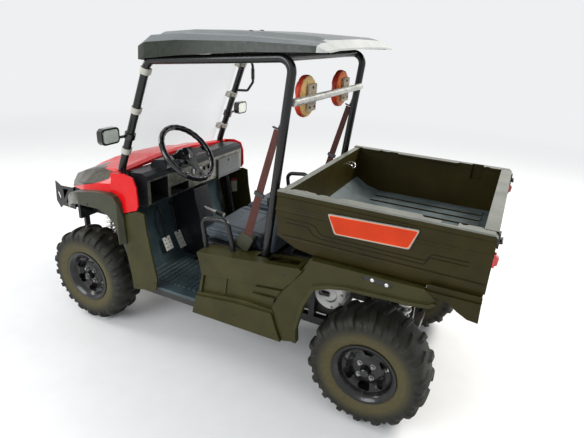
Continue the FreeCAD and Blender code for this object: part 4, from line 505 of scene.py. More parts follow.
def turned(profile, origin, axis, steps=40):
    """Profile of (along, radius) turned: origin + along axis + radius (u cos a + v sin a), ends capped."""
    u, v, w = frame_of(axis)
    angles = np.linspace(0, 2 * math.pi, steps, endpoint=False)
    ring = np.cos(angles)[:, None] * u + np.sin(angles)[:, None] * v
    rings = [np.asarray(origin) + along * w + max(radius, 1e-5) * ring for along, radius in profile]
    return np.array(rings).reshape(-1, 3), capped(rings, steps)


def hex_bolt(place, axis, radius, height):
    """Six sided head on a round washer: three rings of six points over a turned disc."""
    u, v, w = frame_of(axis)
    washer = [(0.0, radius * 1.5), (height * 0.2, radius * 1.5), (height * 0.22, radius * 1.1)]
    parts = [turned(washer, place, axis, 20)]
    turns = np.arange(6) * math.pi / 3
    ring = np.cos(turns)[:, None] * u + np.sin(turns)[:, None] * v
    rings = [np.asarray(place) + w * along + size * ring
             for along, size in ((height * 0.2, radius), (height * 0.9, radius), (height, radius * 0.8))]
    parts.append((np.array(rings).reshape(-1, 3), capped(rings, 6)))
    return joined(parts)


def button_screw(place, axis, radius):
    """Low domed head with a socket, its profile turned about the axis."""
    profile = [(0.0, radius), (0.12, radius), (0.42, radius * 0.86), (0.58, radius * 0.55),
               (0.56, radius * 0.42), (0.2, radius * 0.36), (0.2, 0.0)]
    return turned([(along * radius if index else 0.0, size) for index, (along, size) in enumerate(profile)],
                  place, axis, 18)


def rounded_outline(corners, radius, steps=5):
    """Closed outline with each corner made a curve: start (1-t)^2 + 2 corner t (1-t) + end t^2."""
    corners = np.asarray(corners, dtype=float)
    before = np.roll(corners, 1, axis=0) - corners
    after = np.roll(corners, -1, axis=0) - corners
    before_run, after_run = np.linalg.norm(before, axis=1), np.linalg.norm(after, axis=1)
    reach = np.minimum(radius, 0.45 * np.minimum(before_run, after_run))
    start = corners + before / before_run[:, None] * reach[:, None]
    end = corners + after / after_run[:, None] * reach[:, None]
    t = np.linspace(0, 1, steps)[None, :, None]
    curve = start[:, None] * (1 - t) ** 2 + 2 * corners[:, None] * t * (1 - t) + end[:, None] * t ** 2
    return curve.reshape(-1, corners.shape[1])


def plate(corners, lift, radius=0.004, chamfer=0.0008):
    """Flat plate: a rounded outline, the same raised by a vector, and one drawn in by the chamfer."""
    line = rounded_outline(corners, radius)
    lift = np.asarray(lift, dtype=float)
    thick = np.linalg.norm(lift)
    inward = line.mean(axis=0) - line
    inward /= np.linalg.norm(inward, axis=1)[:, None]
    rings = [line, line + lift * (1 - min(0.9, chamfer / thick)), line + lift + inward * chamfer]
    return np.array(rings).reshape(-1, 3), capped(rings, len(line))


def soft_block(low, high, radius, steps=6):
    """Box whose edges are rounded to a radius: a cube's grid pulled to a ball about an inner box."""
    low, high = np.asarray(low, dtype=float), np.asarray(high, dtype=float)
    half, centre = (high - low) / 2, (high + low) / 2
    flat_share = 0.72
    reach = np.minimum(radius, half * 0.98)
    line = np.concatenate([np.linspace(-1, -flat_share, steps), np.linspace(flat_share, 1, steps)])
    count = len(line)
    a, b = np.meshgrid(line, line, indexing="ij")
    parts = []
    for axis in range(3):
        for side in (-1.0, 1.0):
            unit = np.zeros((count, count, 3))
            unit[..., axis] = side
            unit[..., (axis + 1) % 3] = a
            unit[..., (axis + 2) % 3] = b
            unit = unit.reshape(-1, 3)
            away = np.sign(unit) * np.clip(np.abs(unit) - flat_share, 0, None) / 0.28
            length = np.linalg.norm(away, axis=1)
            length[length == 0] = 1
            flat = np.sign(unit) * (half - reach) * np.clip(np.abs(unit) / flat_share, 0, 1)
            parts.append((centre + flat + reach * away / length[:, None], grid_faces(count, count)))
    return joined(parts)


SURFACES = {}


def node_mesh(name):
    """Points and triangles of a CAD node as two arrays."""
    source = NODES[name].data
    points = np.empty(len(source.vertices) * 3)
    source.vertices.foreach_get("co", points)
    corners = np.empty(len(source.loops), dtype=int)
    source.loops.foreach_get("vertex_index", corners)
    return points.reshape(-1, 3), corners.reshape(-1, 3)


def surface(name):
    """Search tree over a CAD node's faces, made once."""
    if name not in SURFACES:
        points, corners = node_mesh(name)
        SURFACES[name] = BVHTree.FromPolygons(points.tolist(), corners.tolist())
    return SURFACES[name]


def on_surface(name, start, direction, reach=2.0):
    """Where a ray from a point meets a CAD node, and the way that the face there looks."""
    direction = Vector(direction).normalized()
    place, normal, _, _ = surface(name).ray_cast(Vector(start), direction, reach)
    if place is None:
        return None
    return np.array(place), np.array(normal if normal.dot(direction) < 0 else -normal)






# Wheels

LUG_PITCHES = 18
AXLE_Z = 0.318
TYRE_TIP = 0.318     # radius to the tips of the lugs
TREAD_ROLL = 0.31    # radius at which the pitch of the lugs is measured
LUG_PROUD = 0.0155
BLOCK_PROUD = 0.0065
FRONT_AXLE, REAR_AXLE = -0.880, 1.023
WHEELS = (
    # body, corner, side, across, along, tyre width
    ("wheel_fl", "front_left", 1, 0.511, FRONT_AXLE, 0.203),
    ("wheel_fr", "front_right", -1, 0.511, FRONT_AXLE, 0.203),
    ("wheel_rl", "rear_left", 1, 0.491, REAR_AXLE, 0.254),
    ("wheel_rr", "rear_right", -1, 0.491, REAR_AXLE, 0.254),
)


def ease(low, high, value):
    """0 up to low, 1 from high, and a smooth step between."""
    t = np.clip((value - low) / (high - low), 0, 1)
    return t * t * (3 - 2 * t)


def tyre_section(half):
    """Smooth section of a tyre from its outer bead over the crown to the inner one: across and radius."""
    outer = [(half - 0.026, 0.1535), (half - 0.021, 0.161), (half - 0.013, 0.173), (half - 0.0035, 0.198),
             (half - 0.0005, 0.228), (half - 0.004, 0.257), (half - 0.015, 0.281), (half - 0.037, 0.2965),
             (half * 0.35, 0.3015)]
    crown = [(0.0, 0.3025)]
    inner = [(-across, radius) for across, radius in outer[::-1]]
    return smooth_line(outer + crown + inner, 4)


def lug_height(across, radius, half, off_lug, off_other):
    """How far the tread stands out: lugs, small blocks on the shoulder, and two rings on the side.

    A lug is a smooth step down at its half width from its middle line, which is wider towards the
    shoulder; a block is the same between two radii; a ring is a bell curve of the radius.
    """
    share = np.abs(across) / half
    wide = 0.0115 + 0.005 * share
    lug = 1 - ease(wide - 0.0028, wide + 0.0028, off_lug)
    lug = lug * ease(0.005, 0.06, share) * ease(0.248, 0.274, radius)
    lug = lug * (0.75 + 0.25 * ease(0.262, 0.296, radius))
    block = (1 - ease(0.007, 0.0105, off_other)) * ease(0.255, 0.263, radius)
    block = block * (1 - ease(0.284, 0.292, radius))
    rings = 0.0014 * np.exp(-((radius - 0.214) / 0.0022) ** 2)
    rings = rings + 0.0022 * np.exp(-((radius - 0.180) / 0.0035) ** 2)
    return LUG_PROUD * lug + BLOCK_PROUD * block + rings


def make_tyre(body, corner, side, wheel_x, axle_y, width):
    """Tyre: its section carried round the axle and pushed out along its normal by the tread's height.

    The columns lean as the lugs do, by 21 mm from the middle to the shoulder, and stand close where a
    lug's walls are, so that the walls follow them. The two rows of lugs are half a pitch apart.
    """
    half = width / 2
    section = tyre_section(half)
    run = np.gradient(section, axis=0)
    run /= np.linalg.norm(run, axis=1)[:, None]
    out = np.stack([run[:, 1], -run[:, 0]], axis=1)
    pitch = 2 * math.pi * TREAD_ROLL / LUG_PITCHES
    near = np.array((-20, -17, -14.5, -12, -9.5, -5, 0, 5, 9.5, 12, 14.5, 17, 20)) * MM
    local = np.concatenate([near, near + pitch / 2])
    off_first = np.minimum(np.abs(local), np.abs(local - pitch))
    off_second = np.abs(local - pitch / 2)
    along = (local[None, :] + pitch * np.arange(LUG_PITCHES)[:, None]).reshape(-1)
    off_first = np.tile(off_first, LUG_PITCHES)[None, :]
    off_second = np.tile(off_second, LUG_PITCHES)[None, :]
    across = section[:, 0:1]
    radius = section[:, 1:2]
    first_side = across > 0
    tread = lug_height(across, radius, half, np.where(first_side, off_first, off_second),
                       np.where(first_side, off_second, off_first))
    lean = (-12 + 21 * np.clip((np.abs(across) / half - 0.04) / 0.89, 0, 1)) * MM
    turn = (along[None, :] + lean) / TREAD_ROLL
    x = across + out[:, 0:1] * tread
    r = np.minimum(radius + out[:, 1:2] * tread, TYRE_TIP)
    points = np.stack([side * (wheel_x + x), axle_y + side * r * np.sin(turn),
                       AXLE_Z + r * np.cos(turn)], axis=-1)
    faces = grid_faces(*points.shape[:2], close_rows=True, close_columns=True)
    tyre = add_mesh("tread_" + corner, (points, faces), "rubber", body, angle=65)
    clean = ease(0.200, 0.262, np.hypot(points[..., 1] - axle_y, points[..., 2] - AXLE_Z).reshape(-1))
    layer = tyre.data.attributes.new("soil", "FLOAT", "POINT")
    if len(tyre.data.vertices) == clean.size:
        layer.data.foreach_set("value", (1 - clean) * 0.95)
    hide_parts("tyre_" + corner)


def make_wheel_fittings(body, corner, side, axle_y):
    """Four nuts on the disc, a domed cap on its boss and a valve by the rim, the last two turned."""
    axis = (side, 0, 0)
    middle = np.array((0.0, axle_y, AXLE_Z))

    def spot(across, reach, degrees):
        turn = math.radians(degrees)
        return middle + np.array((side * across, reach * math.cos(turn), reach * math.sin(turn)))

    nuts = [hex_bolt(spot(0.5635, 0.048, 45 + 90 * i), axis, 0.0098, 0.017) for i in range(4)]
    add_mesh("wheel_nuts_" + corner, joined(nuts), "bolt", body, angle=25)
    dome = [(-0.001, 0.0236), (0.003, 0.0236), (0.0075, 0.0205), (0.0105, 0.012), (0.0115, 0.0)]
    add_mesh("wheel_cap_" + corner, turned(dome, spot(0.590, 0, 0), axis, 32), "black", body)
    stem = [(0.0, 0.0045), (0.016, 0.0042), (0.017, 0.0052), (0.027, 0.0052), (0.028, 0.0040),
            (0.028, 0.0)]
    add_mesh("valve_" + corner, turned(stem, spot(0.5735, 0.131, 100), axis, 14), "boot", body)


def make_wheels():
    """Tyres and wheel fittings of the four corners from one table."""
    for body, corner, side, wheel_x, axle_y, width in WHEELS:
        make_tyre(body, corner, side, wheel_x, axle_y, width)
        make_wheel_fittings(body, corner, side, axle_y)


# Suspension and drive

COIL_TURNS = 8.5
COIL_REACH = 0.0298  # middle of the wire from the middle of the damper
COIL_WIRE = 0.0064
DAMPERS = (
    # word, foot, head
    ("front", (0.317, -0.940, 0.273), (0.266, -0.974, 0.696)),
    ("rear", (0.317, 1.089, 0.273), (0.266, 1.147, 0.806)),
)


def make_dampers():
    """Coil springs wound round stepped damper tubes: each coil is a circle on a helix up the damper."""
    springs, tubes = [], []
    for _, foot, head in DAMPERS:
        for side in (1, -1):
            low = np.array(foot) * (side, 1, 1)
            high = np.array(head) * (side, 1, 1)
            length = float(np.linalg.norm(high - low))
            u, v, w = frame_of(high - low)
            start, run = 0.28 * length, 0.62 * length
            t = np.linspace(0, 1, 200)
            turn = 2 * math.pi * COIL_TURNS * t
            rise = start + run * (0.02 + 0.96 * t)
            ring = np.cos(turn)[:, None] * u + np.sin(turn)[:, None] * v
            springs.append(pipe(low + rise[:, None] * w + COIL_REACH * ring, COIL_WIRE, 10))
            end = start + run
            body = [(0.016, 0.021), (0.06, 0.021), (0.062, 0.023), (start - 0.020, 0.023),
                    (start - 0.018, 0.029), (start - 0.010, 0.029), (start - 0.008, 0.037),
                    (start, 0.037), (start, 0.021),
                    (start + run * 0.45, 0.021), (start + run * 0.46, 0.012), (start + run * 0.50, 0.009),
                    (end - 0.004, 0.009), (end - 0.002, 0.037), (end + 0.008, 0.037), (end + 0.012, 0.026),
                    (end + 0.020, 0.012), (length - 0.012, 0.011)]
            tubes.append(turned(body, low, w, 28))
            for eye in (low, high):
                across = eye - np.array((0, 0.017, 0))
                tubes.append(turned([(0, 0.0155), (0.034, 0.0155)], across, (0, 1, 0), 24))
                tubes.append(hex_bolt(eye + np.array((0, 0.0165, 0)), (0, 1, 0), 0.008, 0.008))
    spring_piece = add_mesh("damper_springs", joined(springs), "silver")
    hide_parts("dampers")
    tube_piece = add_mesh("damper_tubes", joined(tubes), "steel", angle=30)
    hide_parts("dampers")


def make_boots():
    """Bellows on the half shafts: a cone whose radius rises and falls in folds, with a band at each end."""
    parts, bands = [], []
    t = np.linspace(0, 1, 37)
    folds = 0.5 - 0.5 * np.cos(2 * math.pi * 5 * t)
    for axle_y, case_half in ((FRONT_AXLE, 0.096), (REAR_AXLE, 0.106)):
        for side in (1, -1):
            for start, way, big, small, run in ((case_half - 0.002, 1, 0.0372, 0.0200, 0.062),
                                                (0.403, -1, 0.0352, 0.0190, 0.058)):
                origin = np.array((side * start, axle_y, AXLE_Z))
                axis = np.array((side * way, 0, 0))
                radius = big + (small - big) * t + 0.0042 * folds
                parts.append(turned(list(zip(run * t, radius)), origin, axis, 24))
                bands.append(turned([(0.0, big + 0.0016), (0.006, big + 0.0016)], origin, axis, 32))
                bands.append(turned([(run - 0.004, small + 0.0024), (run + 0.002, small + 0.0024)], origin,
                                    axis, 24))
    add_mesh("shaft_boots", joined(parts), "boot", angle=70)
    add_mesh("boot_bands", joined(bands), "zinc")


# Seats and head pads

VOXEL = 0.006
SHRINK = 0.004       # how far a pad starts inside its solid
CLOTH_FRAMES = 20
CLOTH_PRESSURE = 4
SEAT_PADS = (
    # name, CAD node, finish, how far it may swell, fullness
    ("seat_left", "cushion_left", "vinyl", 0.010, 0.85),
    ("seat_right", "cushion_right", "vinyl", 0.010, 0.85),
    ("back_left", "backrest_left", "vinyl", 0.009, 0.85),
    ("back_right", "backrest_right", "vinyl", 0.009, 0.85),
    ("head_pad_left", "headrest_left", "pad_near", 0.006, 0.9),
    ("head_pad_right", "headrest_right", "pad_far", 0.006, 0.9),
)


def bare_copy(name, node, shrink):
    """Copy of a soft CAD solid, joined and drawn in towards its middle by a length on every side."""
    low, high = (np.array(corner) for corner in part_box(node))
    points, corners = node_mesh(node)
    middle = (low + high) / 2
    points = middle + (points - middle) * (1 - 2 * shrink / (high - low))
    mesh = bpy.data.meshes.new(name)
    mesh.from_pydata(points.tolist(), [], corners.tolist())
    bm = bmesh.new()
    bm.from_mesh(mesh)
    bmesh.ops.remove_doubles(bm, verts=bm.verts, dist=1e-5)
    bm.to_mesh(mesh)
    bm.free()
    obj = bpy.data.objects.new(name, mesh)
    bpy.context.scene.collection.objects.link(obj)
    return obj


def bake(obj):
    """The piece's modifiers worked into its mesh."""
    graph = bpy.context.evaluated_depsgraph_get()
    mesh = bpy.data.meshes.new_from_object(obj.evaluated_get(graph))
    obj.modifiers.clear()
    obj.data = mesh


def mesh_points(mesh):
    """The mesh's points as an array."""
    points = np.empty(len(mesh.vertices) * 3)
    mesh.vertices.foreach_get("co", points)
    return points.reshape(-1, 3)


def set_points(mesh, points):
    """Puts an array of points back into the mesh."""
    mesh.vertices.foreach_set("co", np.ascontiguousarray(points).reshape(-1))
    mesh.update()


def mesh_normals(mesh):
    """The way that each point of the mesh looks, as an array."""
    normals = np.empty(len(mesh.vertices) * 3)
    mesh.vertex_normals.foreach_get("vector", normals)
    return normals.reshape(-1, 3)


def groove(points, normals, axis, places, depth, width, facing):
    """Sewn channels: points near lines at places on an axis drop along a way, as a bell curve."""
    looks = np.clip(normals @ np.asarray(facing), 0, 1)
    drop = np.zeros(len(points))
    for place in places:
        drop = np.maximum(drop, np.exp(-((points[:, axis] - place) / width) ** 2))
    return points - (depth * drop * looks)[:, None] * np.asarray(facing)


def make_pads():
    """Seats, backs and head pads: remeshed copies of their solids, swelled by cloth under pressure."""
    pads = []
    for name, node, finish, swell, fill in SEAT_PADS:
        obj = bare_copy(name, node, SHRINK)
        remesh = obj.modifiers.new("even", "REMESH")
        remesh.mode = "VOXEL"
        remesh.voxel_size = VOXEL
        soften = obj.modifiers.new("soften", "SMOOTH")
        soften.factor = 0.6
        soften.iterations = 9
        bake(obj)
        pads.append((obj, node, finish, swell, fill, mesh_points(obj.data)))
    swell_pads([pad[0] for pad in pads])
    for obj, node, finish, swell, fill, before in pads:
        points = mesh_points(obj.data)
        moved = points - before
        length = np.linalg.norm(moved, axis=1)
        length[length == 0] = 1
        points = before + moved * np.minimum(1, swell / length)[:, None]
        low, high = (np.array(corner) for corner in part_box(node))
        points = np.clip(points, low + (-0.004, -0.004, 0.0005), high + (0.004, 0.004, 0.010))
        set_points(obj.data, points)
        obj.data.materials.clear()
        obj.data.materials.append(MAT[finish])
        finer = obj.modifiers.new("finer", "SUBSURF")
        finer.levels = finer.render_levels = 1
        bake(obj)
        sew(obj, node, low, high)
        obj.data.shade_smooth()
        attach(obj, "root")
        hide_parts(node)


def swell_pads(objs):
    """Cloth under pressure with no gravity, twenty frames, all pads at once."""
    scene = bpy.context.scene
    for obj in objs:
        cloth = obj.modifiers.new("cloth", "CLOTH")
        cloth.settings.quality = 4
        cloth.settings.mass = 0.3
        cloth.settings.tension_stiffness = 12
        cloth.settings.compression_stiffness = 12
        cloth.settings.use_pressure = True
        cloth.settings.uniform_pressure_force = CLOTH_PRESSURE
        cloth.settings.effector_weights.gravity = 0
        cloth.point_cache.frame_start = 1
        cloth.point_cache.frame_end = CLOTH_FRAMES
    for number in range(1, CLOTH_FRAMES + 1):
        scene.frame_set(number)
    for obj in objs:
        bake(obj)
    scene.frame_set(1)


def sew(obj, node, low, high):
    """Channels and the seam round the edge of a pad, after it has swelled.

    On a head pad the seam draws points towards the middle by a bell curve of their way from the rim.
    """
    points = mesh_points(obj.data)
    normals = mesh_normals(obj.data)
    middle = (low + high) / 2
    inset = 0.075
    if node.startswith("cushion"):
        up = (0, 0, 1)
        points = groove(points, normals, 0, (low[0] + inset, high[0] - inset), 0.006, 0.006, up)
        points = groove(points, normals, 1, (middle[1] + 0.05,), 0.005, 0.006, up)
        seam(points, normals, low[2] + 0.052, 2)
    elif node.startswith("backrest"):
        for way in ((0, -1, 0), (0, 1, 0)):
            points = groove(points, normals, 0, (low[0] + inset, high[0] - inset), 0.006, 0.006, way)
            points = groove(points, normals, 2, (low[2] + 0.16,), 0.005, 0.006, way)
    else:
        rim = np.abs(points[:, 1] - (high[1] - 0.013))
        pull = 0.0022 * np.exp(-(rim / 0.004) ** 2)
        out = points - middle
        out[:, 1] = 0
        out /= np.maximum(np.linalg.norm(out, axis=1), 1e-6)[:, None]
        points = points - out * pull[:, None]
    set_points(obj.data, points)
    if node.startswith("headrest"):
        back_of_pad(obj, high)


def seam(points, normals, height, axis):
    """Draws the side of a pad in by 2.5 mm along a line at a height, as a bell curve."""
    pull = 0.0025 * np.exp(-((points[:, axis] - height) / 0.005) ** 2)
    flat = normals.copy()
    flat[:, axis] = 0
    points -= flat * pull[:, None]


def back_of_pad(obj, high):
    """Share of the back's colour: a smooth step along y times one on how far the point looks back."""
    points, normals = mesh_points(obj.data), mesh_normals(obj.data)
    share = ease(high[1] - 0.015, high[1] - 0.010, points[:, 1]) * ease(0.3, 0.7, normals[:, 1])
    layer = obj.data.attributes.new("back", "FLOAT", "POINT")
    layer.data.foreach_set("value", share)


# Cab

def web_strip(line, across, width, thick, ribs=12):
    """Flat woven strap: a line carried sideways, its face ribbed by a low cosine and its edges rolled."""
    line = np.asarray(line, dtype=float)
    count = len(line)
    s = np.linspace(-1, 1, 2 * ribs + 1)
    height = thick / 2 * (0.82 + 0.18 * np.cos(math.pi * ribs * s))
    height = height * np.sqrt(np.clip(1 - np.abs(s) ** 14, 0.02, 1))
    ahead = np.gradient(line, axis=0)
    ahead /= np.linalg.norm(ahead, axis=1)[:, None]
    side = np.broadcast_to(np.asarray(across, dtype=float), line.shape)
    side = side - ahead * np.sum(side * ahead, axis=1)[:, None]
    side /= np.linalg.norm(side, axis=1)[:, None]
    out = np.cross(ahead, side)
    width = np.broadcast_to(np.asarray(width, dtype=float), (count,))[:, None, None]
    spread = side[:, None] * s[None, :, None] * width / 2
    raised = out[:, None] * height[None, :, None]
    rings = np.concatenate([line[:, None] + spread + raised,
                            line[:, None] + spread[:, ::-1] - raised[:, ::-1]], axis=1)
    return rings.reshape(-1, 3), capped(list(rings), rings.shape[1])


def make_belts():
    """Dark red straps from the reels to an eye on the rear hoop, each with a tongue.

    A strap is a smooth line carried sideways, narrower towards its head; an eye is a circle carried
    round a rounded outline, on a neck that bends to the hoop; a tongue is a flat rounded plate.
    """
    straps, metal, covers = [], [], []
    lie, rise = np.array((0, 0.966, -0.26)), np.array((0, 0.26, 0.966))
    for side in (1, -1):
        x = side * 0.4985
        line = smooth_line([(x, 0.281, 0.8605), (x, 0.318, 1.00), (x, 0.358, 1.155), (x, 0.398, 1.305),
                            (x, 0.4345, 1.443)], 12)
        width = np.linspace(0.047, 0.036, len(line))
        straps.append(web_strip(line, lie, width, 0.0024))
        eye = np.array((x, 0.4365, 1.449))
        long = np.array((0, 0.95, -0.30))
        corners = [eye + long * a + np.array((side, 0, 0)) * b
                   for a, b in ((-0.027, -0.006), (0.027, -0.006), (0.027, 0.006), (-0.027, 0.006))]
        metal.append(pipe(rounded_outline(corners, 0.006, 6), 0.0032, 10, closed=True))
        neck = [eye + np.array((0, 0.006, 0.004)), eye + np.array((-side * 0.001, 0.014, 0.022)),
                eye + np.array((-side * 0.002, 0.018, 0.040))]
        metal.append(pipe(smooth_line(neck, 6), 0.006, 10))
        tongue = np.array((x, 0.3445, 1.102))
        grip = [tongue + lie * a + rise * b - np.array((0.004, 0, 0))
                for a, b in ((-0.030, -0.012), (0.030, -0.012), (0.030, 0.012), (-0.030, 0.012))]
        covers.append(plate(grip, (0.008, 0, 0), 0.006, 0.0015))
    strap_piece = add_mesh("belt_webbing", joined(straps), "webbing", angle=50)
    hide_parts("belt_straps")
    add_mesh("belt_eyes", joined(metal), "black")
    add_mesh("belt_covers", joined(covers), "black")


def make_buckles():
    """Belt buckles on short round stalks between the cushions, soft edged, each with a red button."""
    stalks, cases, buttons = [], [], []
    for y in (0.150, 0.232):
        stalks.append(pipe([(0, y, 0.7425), (0, y + 0.004, 0.80), (0, y + 0.008, 0.842)], 0.0065, 10))
        cases.append(soft_block((-0.0125, y - 0.024, 0.836), (0.0125, y + 0.034, 0.904), 0.006))
        buttons.append(soft_block((-0.009, y - 0.008, 0.9035), (0.009, y + 0.018, 0.9065), 0.0012))
    add_mesh("buckle_stalks", joined(stalks), "boot")
    add_mesh("buckle_cases", joined(cases), "black", angle=60)
    add_mesh("buckle_buttons", joined(buttons), "lamp", angle=60)


COLUMN_TILT = math.radians(42)
COLUMN = np.array((0.0, math.cos(COLUMN_TILT), math.sin(COLUMN_TILT)))
WHEEL_MIDDLE = np.array((0.262, -0.287, 1.174))
WHEEL_REACH = 0.180  # middle of the grip from the column


def make_wheel_hub():
    """Padded hub of the steering wheel, a grip round its rim and covers along its spokes.

    The hub is a stepped profile turned about the column; the grip is a circle carried round the rim, its
    radius rising and falling by a cosine; each cover is a flat outline that narrows from hub to rim.
    """
    base = WHEEL_MIDDLE - COLUMN * 0.0125
    pad_profile = [(0.0, 0.0405), (0.006, 0.0415), (0.012, 0.0385), (0.0155, 0.030), (0.0150, 0.026),
                   (0.0165, 0.020), (0.0180, 0.010), (0.0182, 0.0)]
    add_mesh("steering_hub", turned(pad_profile, base, COLUMN, 40), "black", "steering", angle=35)
    u, v, _ = frame_of(COLUMN)
    down = np.cross(COLUMN, (1.0, 0.0, 0.0))
    turn = np.linspace(0, 2 * math.pi, 96, endpoint=False)
    ring = WHEEL_MIDDLE + WHEEL_REACH * (np.cos(turn)[:, None] * u + np.sin(turn)[:, None] * v)
    thick = 0.0172 + 0.0009 * np.cos(24 * turn)
    add_mesh("steering_grip", pipe(ring, thick, 20, closed=True), "black", "steering", angle=70)
    covers = []
    for degrees, foot in ((0, 0.030), (180, 0.030), (90, 0.034)):
        turn = math.radians(degrees)
        out = np.array((1.0, 0, 0)) * math.cos(turn) + down * math.sin(turn)
        aside = np.cross(out, COLUMN)
        reach = np.linspace(0.034, 0.168, 12)
        half = np.linspace(foot, 0.017, 12) + 0.006 * np.cos(np.linspace(0, 2 * math.pi, 12))
        edge = np.concatenate([out * reach[:, None] + aside * half[:, None],
                               (out * reach[:, None] - aside * half[:, None])[::-1]])
        face = WHEEL_MIDDLE - COLUMN * 0.0085 + edge
        covers.append(plate(face, COLUMN * 0.007, 0.004, 0.002))
    add_mesh("steering_spoke_covers", joined(covers), "black", "steering", angle=35)


def upright(x_low, x_high, y, z_low, z_high):
    """Four corners of an upright oblong across the vehicle, at a place along it."""
    return [(x_low, y, z_low), (x_high, y, z_low), (x_high, y, z_high), (x_low, y, z_high)]


def make_gauge():
    """Gauge in the pod: a plate, a raised face, a bezel carried round it, and marks on an arc.

    The marks stand at eleven even angles from 20 to 160 degrees round a point at the face's foot, and
    each reaches from 24 or 26 mm to 30 mm from it.
    """
    rear = -0.3898
    panel = upright(0.1855, 0.3385, rear, 1.0755, 1.1165)
    add_mesh("gauge_panel", plate(panel, (0, 0.0012, 0), 0.003), "pale")
    rear = rear + 0.0012
    face = upright(0.212, 0.312, rear, 1.080, 1.1125)
    add_mesh("gauge_face", plate(face, (0, 0.002, 0), 0.006), "dial")
    add_mesh("gauge_bezel", pipe(rounded_outline(face, 0.006, 5) + (0, 0.0025, 0), 0.0022, 8, closed=True),
             "silver")
    marks = []
    for index, turn in enumerate(np.radians(np.linspace(20, 160, 11))):
        out = np.array((math.cos(turn), 0, math.sin(turn)))
        side = np.array((-out[2], 0, out[0])) * 0.0007
        base = np.array((0.262, rear + 0.0021, 1.081))
        reach = 0.024 if index % 5 == 0 else 0.026
        corners = [base + out * reach - side, base + out * 0.030 - side, base + out * 0.030 + side,
                   base + out * reach + side]
        marks.append(plate(corners, (0, 0.0005, 0), 0.0001, 0.0001))
    add_mesh("gauge_marks", joined(marks), "tick")


DASH_FACE = -0.392
DASH_KNOBS = (
    # name, across, finish, profile as along and radius
    ("key_lock", 0.150, "zinc", ((-0.001, 0.016), (0.006, 0.016), (0.008, 0.013), (0.011, 0.012),
                                 (0.011, 0))),
    ("power_outlet", -0.045, "black", ((-0.001, 0.017), (0.004, 0.017), (0.006, 0.015), (0.006, 0.012),
                                       (0.012, 0.011), (0.012, 0))),
    ("drive_selector", -0.100, "black", ((-0.001, 0.021), (0.004, 0.022), (0.006, 0.018), (0.022, 0.016),
                                         (0.024, 0.013), (0.024, 0))),
)


def make_dash_controls():
    """Rocker switches in raised frames; a key's lock, an outlet and a selector, turned about level axes."""
    frames, rockers = [], []
    for x in (0.010, 0.046, 0.082):
        frames.append(plate(upright(x - 0.014, x + 0.014, DASH_FACE, 0.975, 1.018), (0, 0.003, 0), 0.004))
        rockers.append(soft_block((x - 0.010, DASH_FACE + 0.001, 0.980),
                                  (x + 0.010, DASH_FACE + 0.009, 1.013), 0.003))
    add_mesh("switch_frames", joined(frames), "black")
    add_mesh("switch_rockers", joined(rockers), "pale", angle=60)
    for name, across, finish, profile in DASH_KNOBS:
        add_mesh(name, turned(profile, (across, DASH_FACE, 0.992), (0, 1, 0), 28), finish, angle=30)
    blade = upright(0.1485, 0.1515, DASH_FACE + 0.010, 0.983, 1.001)
    add_mesh("key", plate(blade, (0, 0.026, 0), 0.001, 0.001), "steel")


def make_lever_grip():
    """Ribbed rubber grip over the brake lever's end: 14.5 mm + 1.2 mm of a cosine with 13 waves, turned."""
    foot, end = np.array((0, -0.366, 0.726)), np.array((0, -0.206, 0.700))
    run = end - foot
    length = float(np.linalg.norm(run))
    t = np.linspace(0.60, 1.0, 60)
    radius = 0.0145 + 0.0012 * np.cos(2 * math.pi * 13 * (t - 0.6) / 0.4)
    radius[-4:] *= (0.95, 0.85, 0.65, 0.35)
    radius[0] *= 0.93
    add_mesh("lever_grip", turned(list(zip(t * length, radius)), foot, run, 24), "boot", angle=60)


def make_mirror_glass():
    """Rounded glass in each mirror's rear face, with a round lip carried along its outline."""
    glass, lips = [], []
    for side in (1, -1):
        x, y, z = side * 0.660, -0.4802, 1.313
        corners = upright(x - 0.054, x + 0.054, y, z - 0.037, z + 0.037)
        glass.append(plate(corners, (0, 0.0014, 0), 0.024, 0.0006))
        lips.append(pipe(rounded_outline(corners, 0.024, 8) + (0, 0.0012, 0), 0.0026, 8, closed=True))
    add_mesh("mirror_glasses", joined(glass), "mirror")
    add_mesh("mirror_lips", joined(lips), "black")


def make_handle_sleeve():
    """Ribbed sleeve on the passenger's grab handle: a circle whose radius waves eight times along it."""
    low, high = np.array((-0.486, -0.2868, 1.552)), np.array((-0.486, -0.2888, 1.622))
    t = np.linspace(0, 1, 40)
    radius = 0.0122 + 0.0009 * np.cos(2 * math.pi * 8 * t)
    add_mesh("handle_sleeve", pipe(low + (high - low) * t[:, None], radius, 16), "boot", angle=60)


def make_pad_screws():
    """Three dark turned screws through each head pad's plate."""
    parts = []
    for side in (1, -1):
        for dx, dz in ((-0.028, -0.046), (0.028, -0.046), (0.0, 0.050)):
            parts.append(button_screw((side * 0.245 + dx, 0.4968, 1.577 + dz), (0, 1, 0), 0.0075))
    add_mesh("pad_screws", joined(parts), "black", angle=30)


def make_labels():
    """Blank label inside the right leg panel: a pale rounded plate under a red one, on the panel's face."""
    hit = on_surface("leg_panels", (-0.30, -0.515, 0.70), (-1, 0, 0))
    x = hit[0][0]
    out = np.array((0.0008, 0, 0))
    field = [(x, -0.563, 0.634), (x, -0.462, 0.664), (x, -0.464, 0.752), (x, -0.566, 0.728)]
    head = [(x, -0.566, 0.731), (x, -0.464, 0.755), (x, -0.465, 0.774), (x, -0.568, 0.750)]
    add_mesh("blank_labels", plate(field, out, 0.004, 0.0002), "label")
    add_mesh("blank_label_heads", plate(head, out, 0.002, 0.0002), "label_red")


# Outside

BADGE = ((0.755, 1.114), (1.177, 1.130), (1.144, 1.031), (0.795, 1.019))


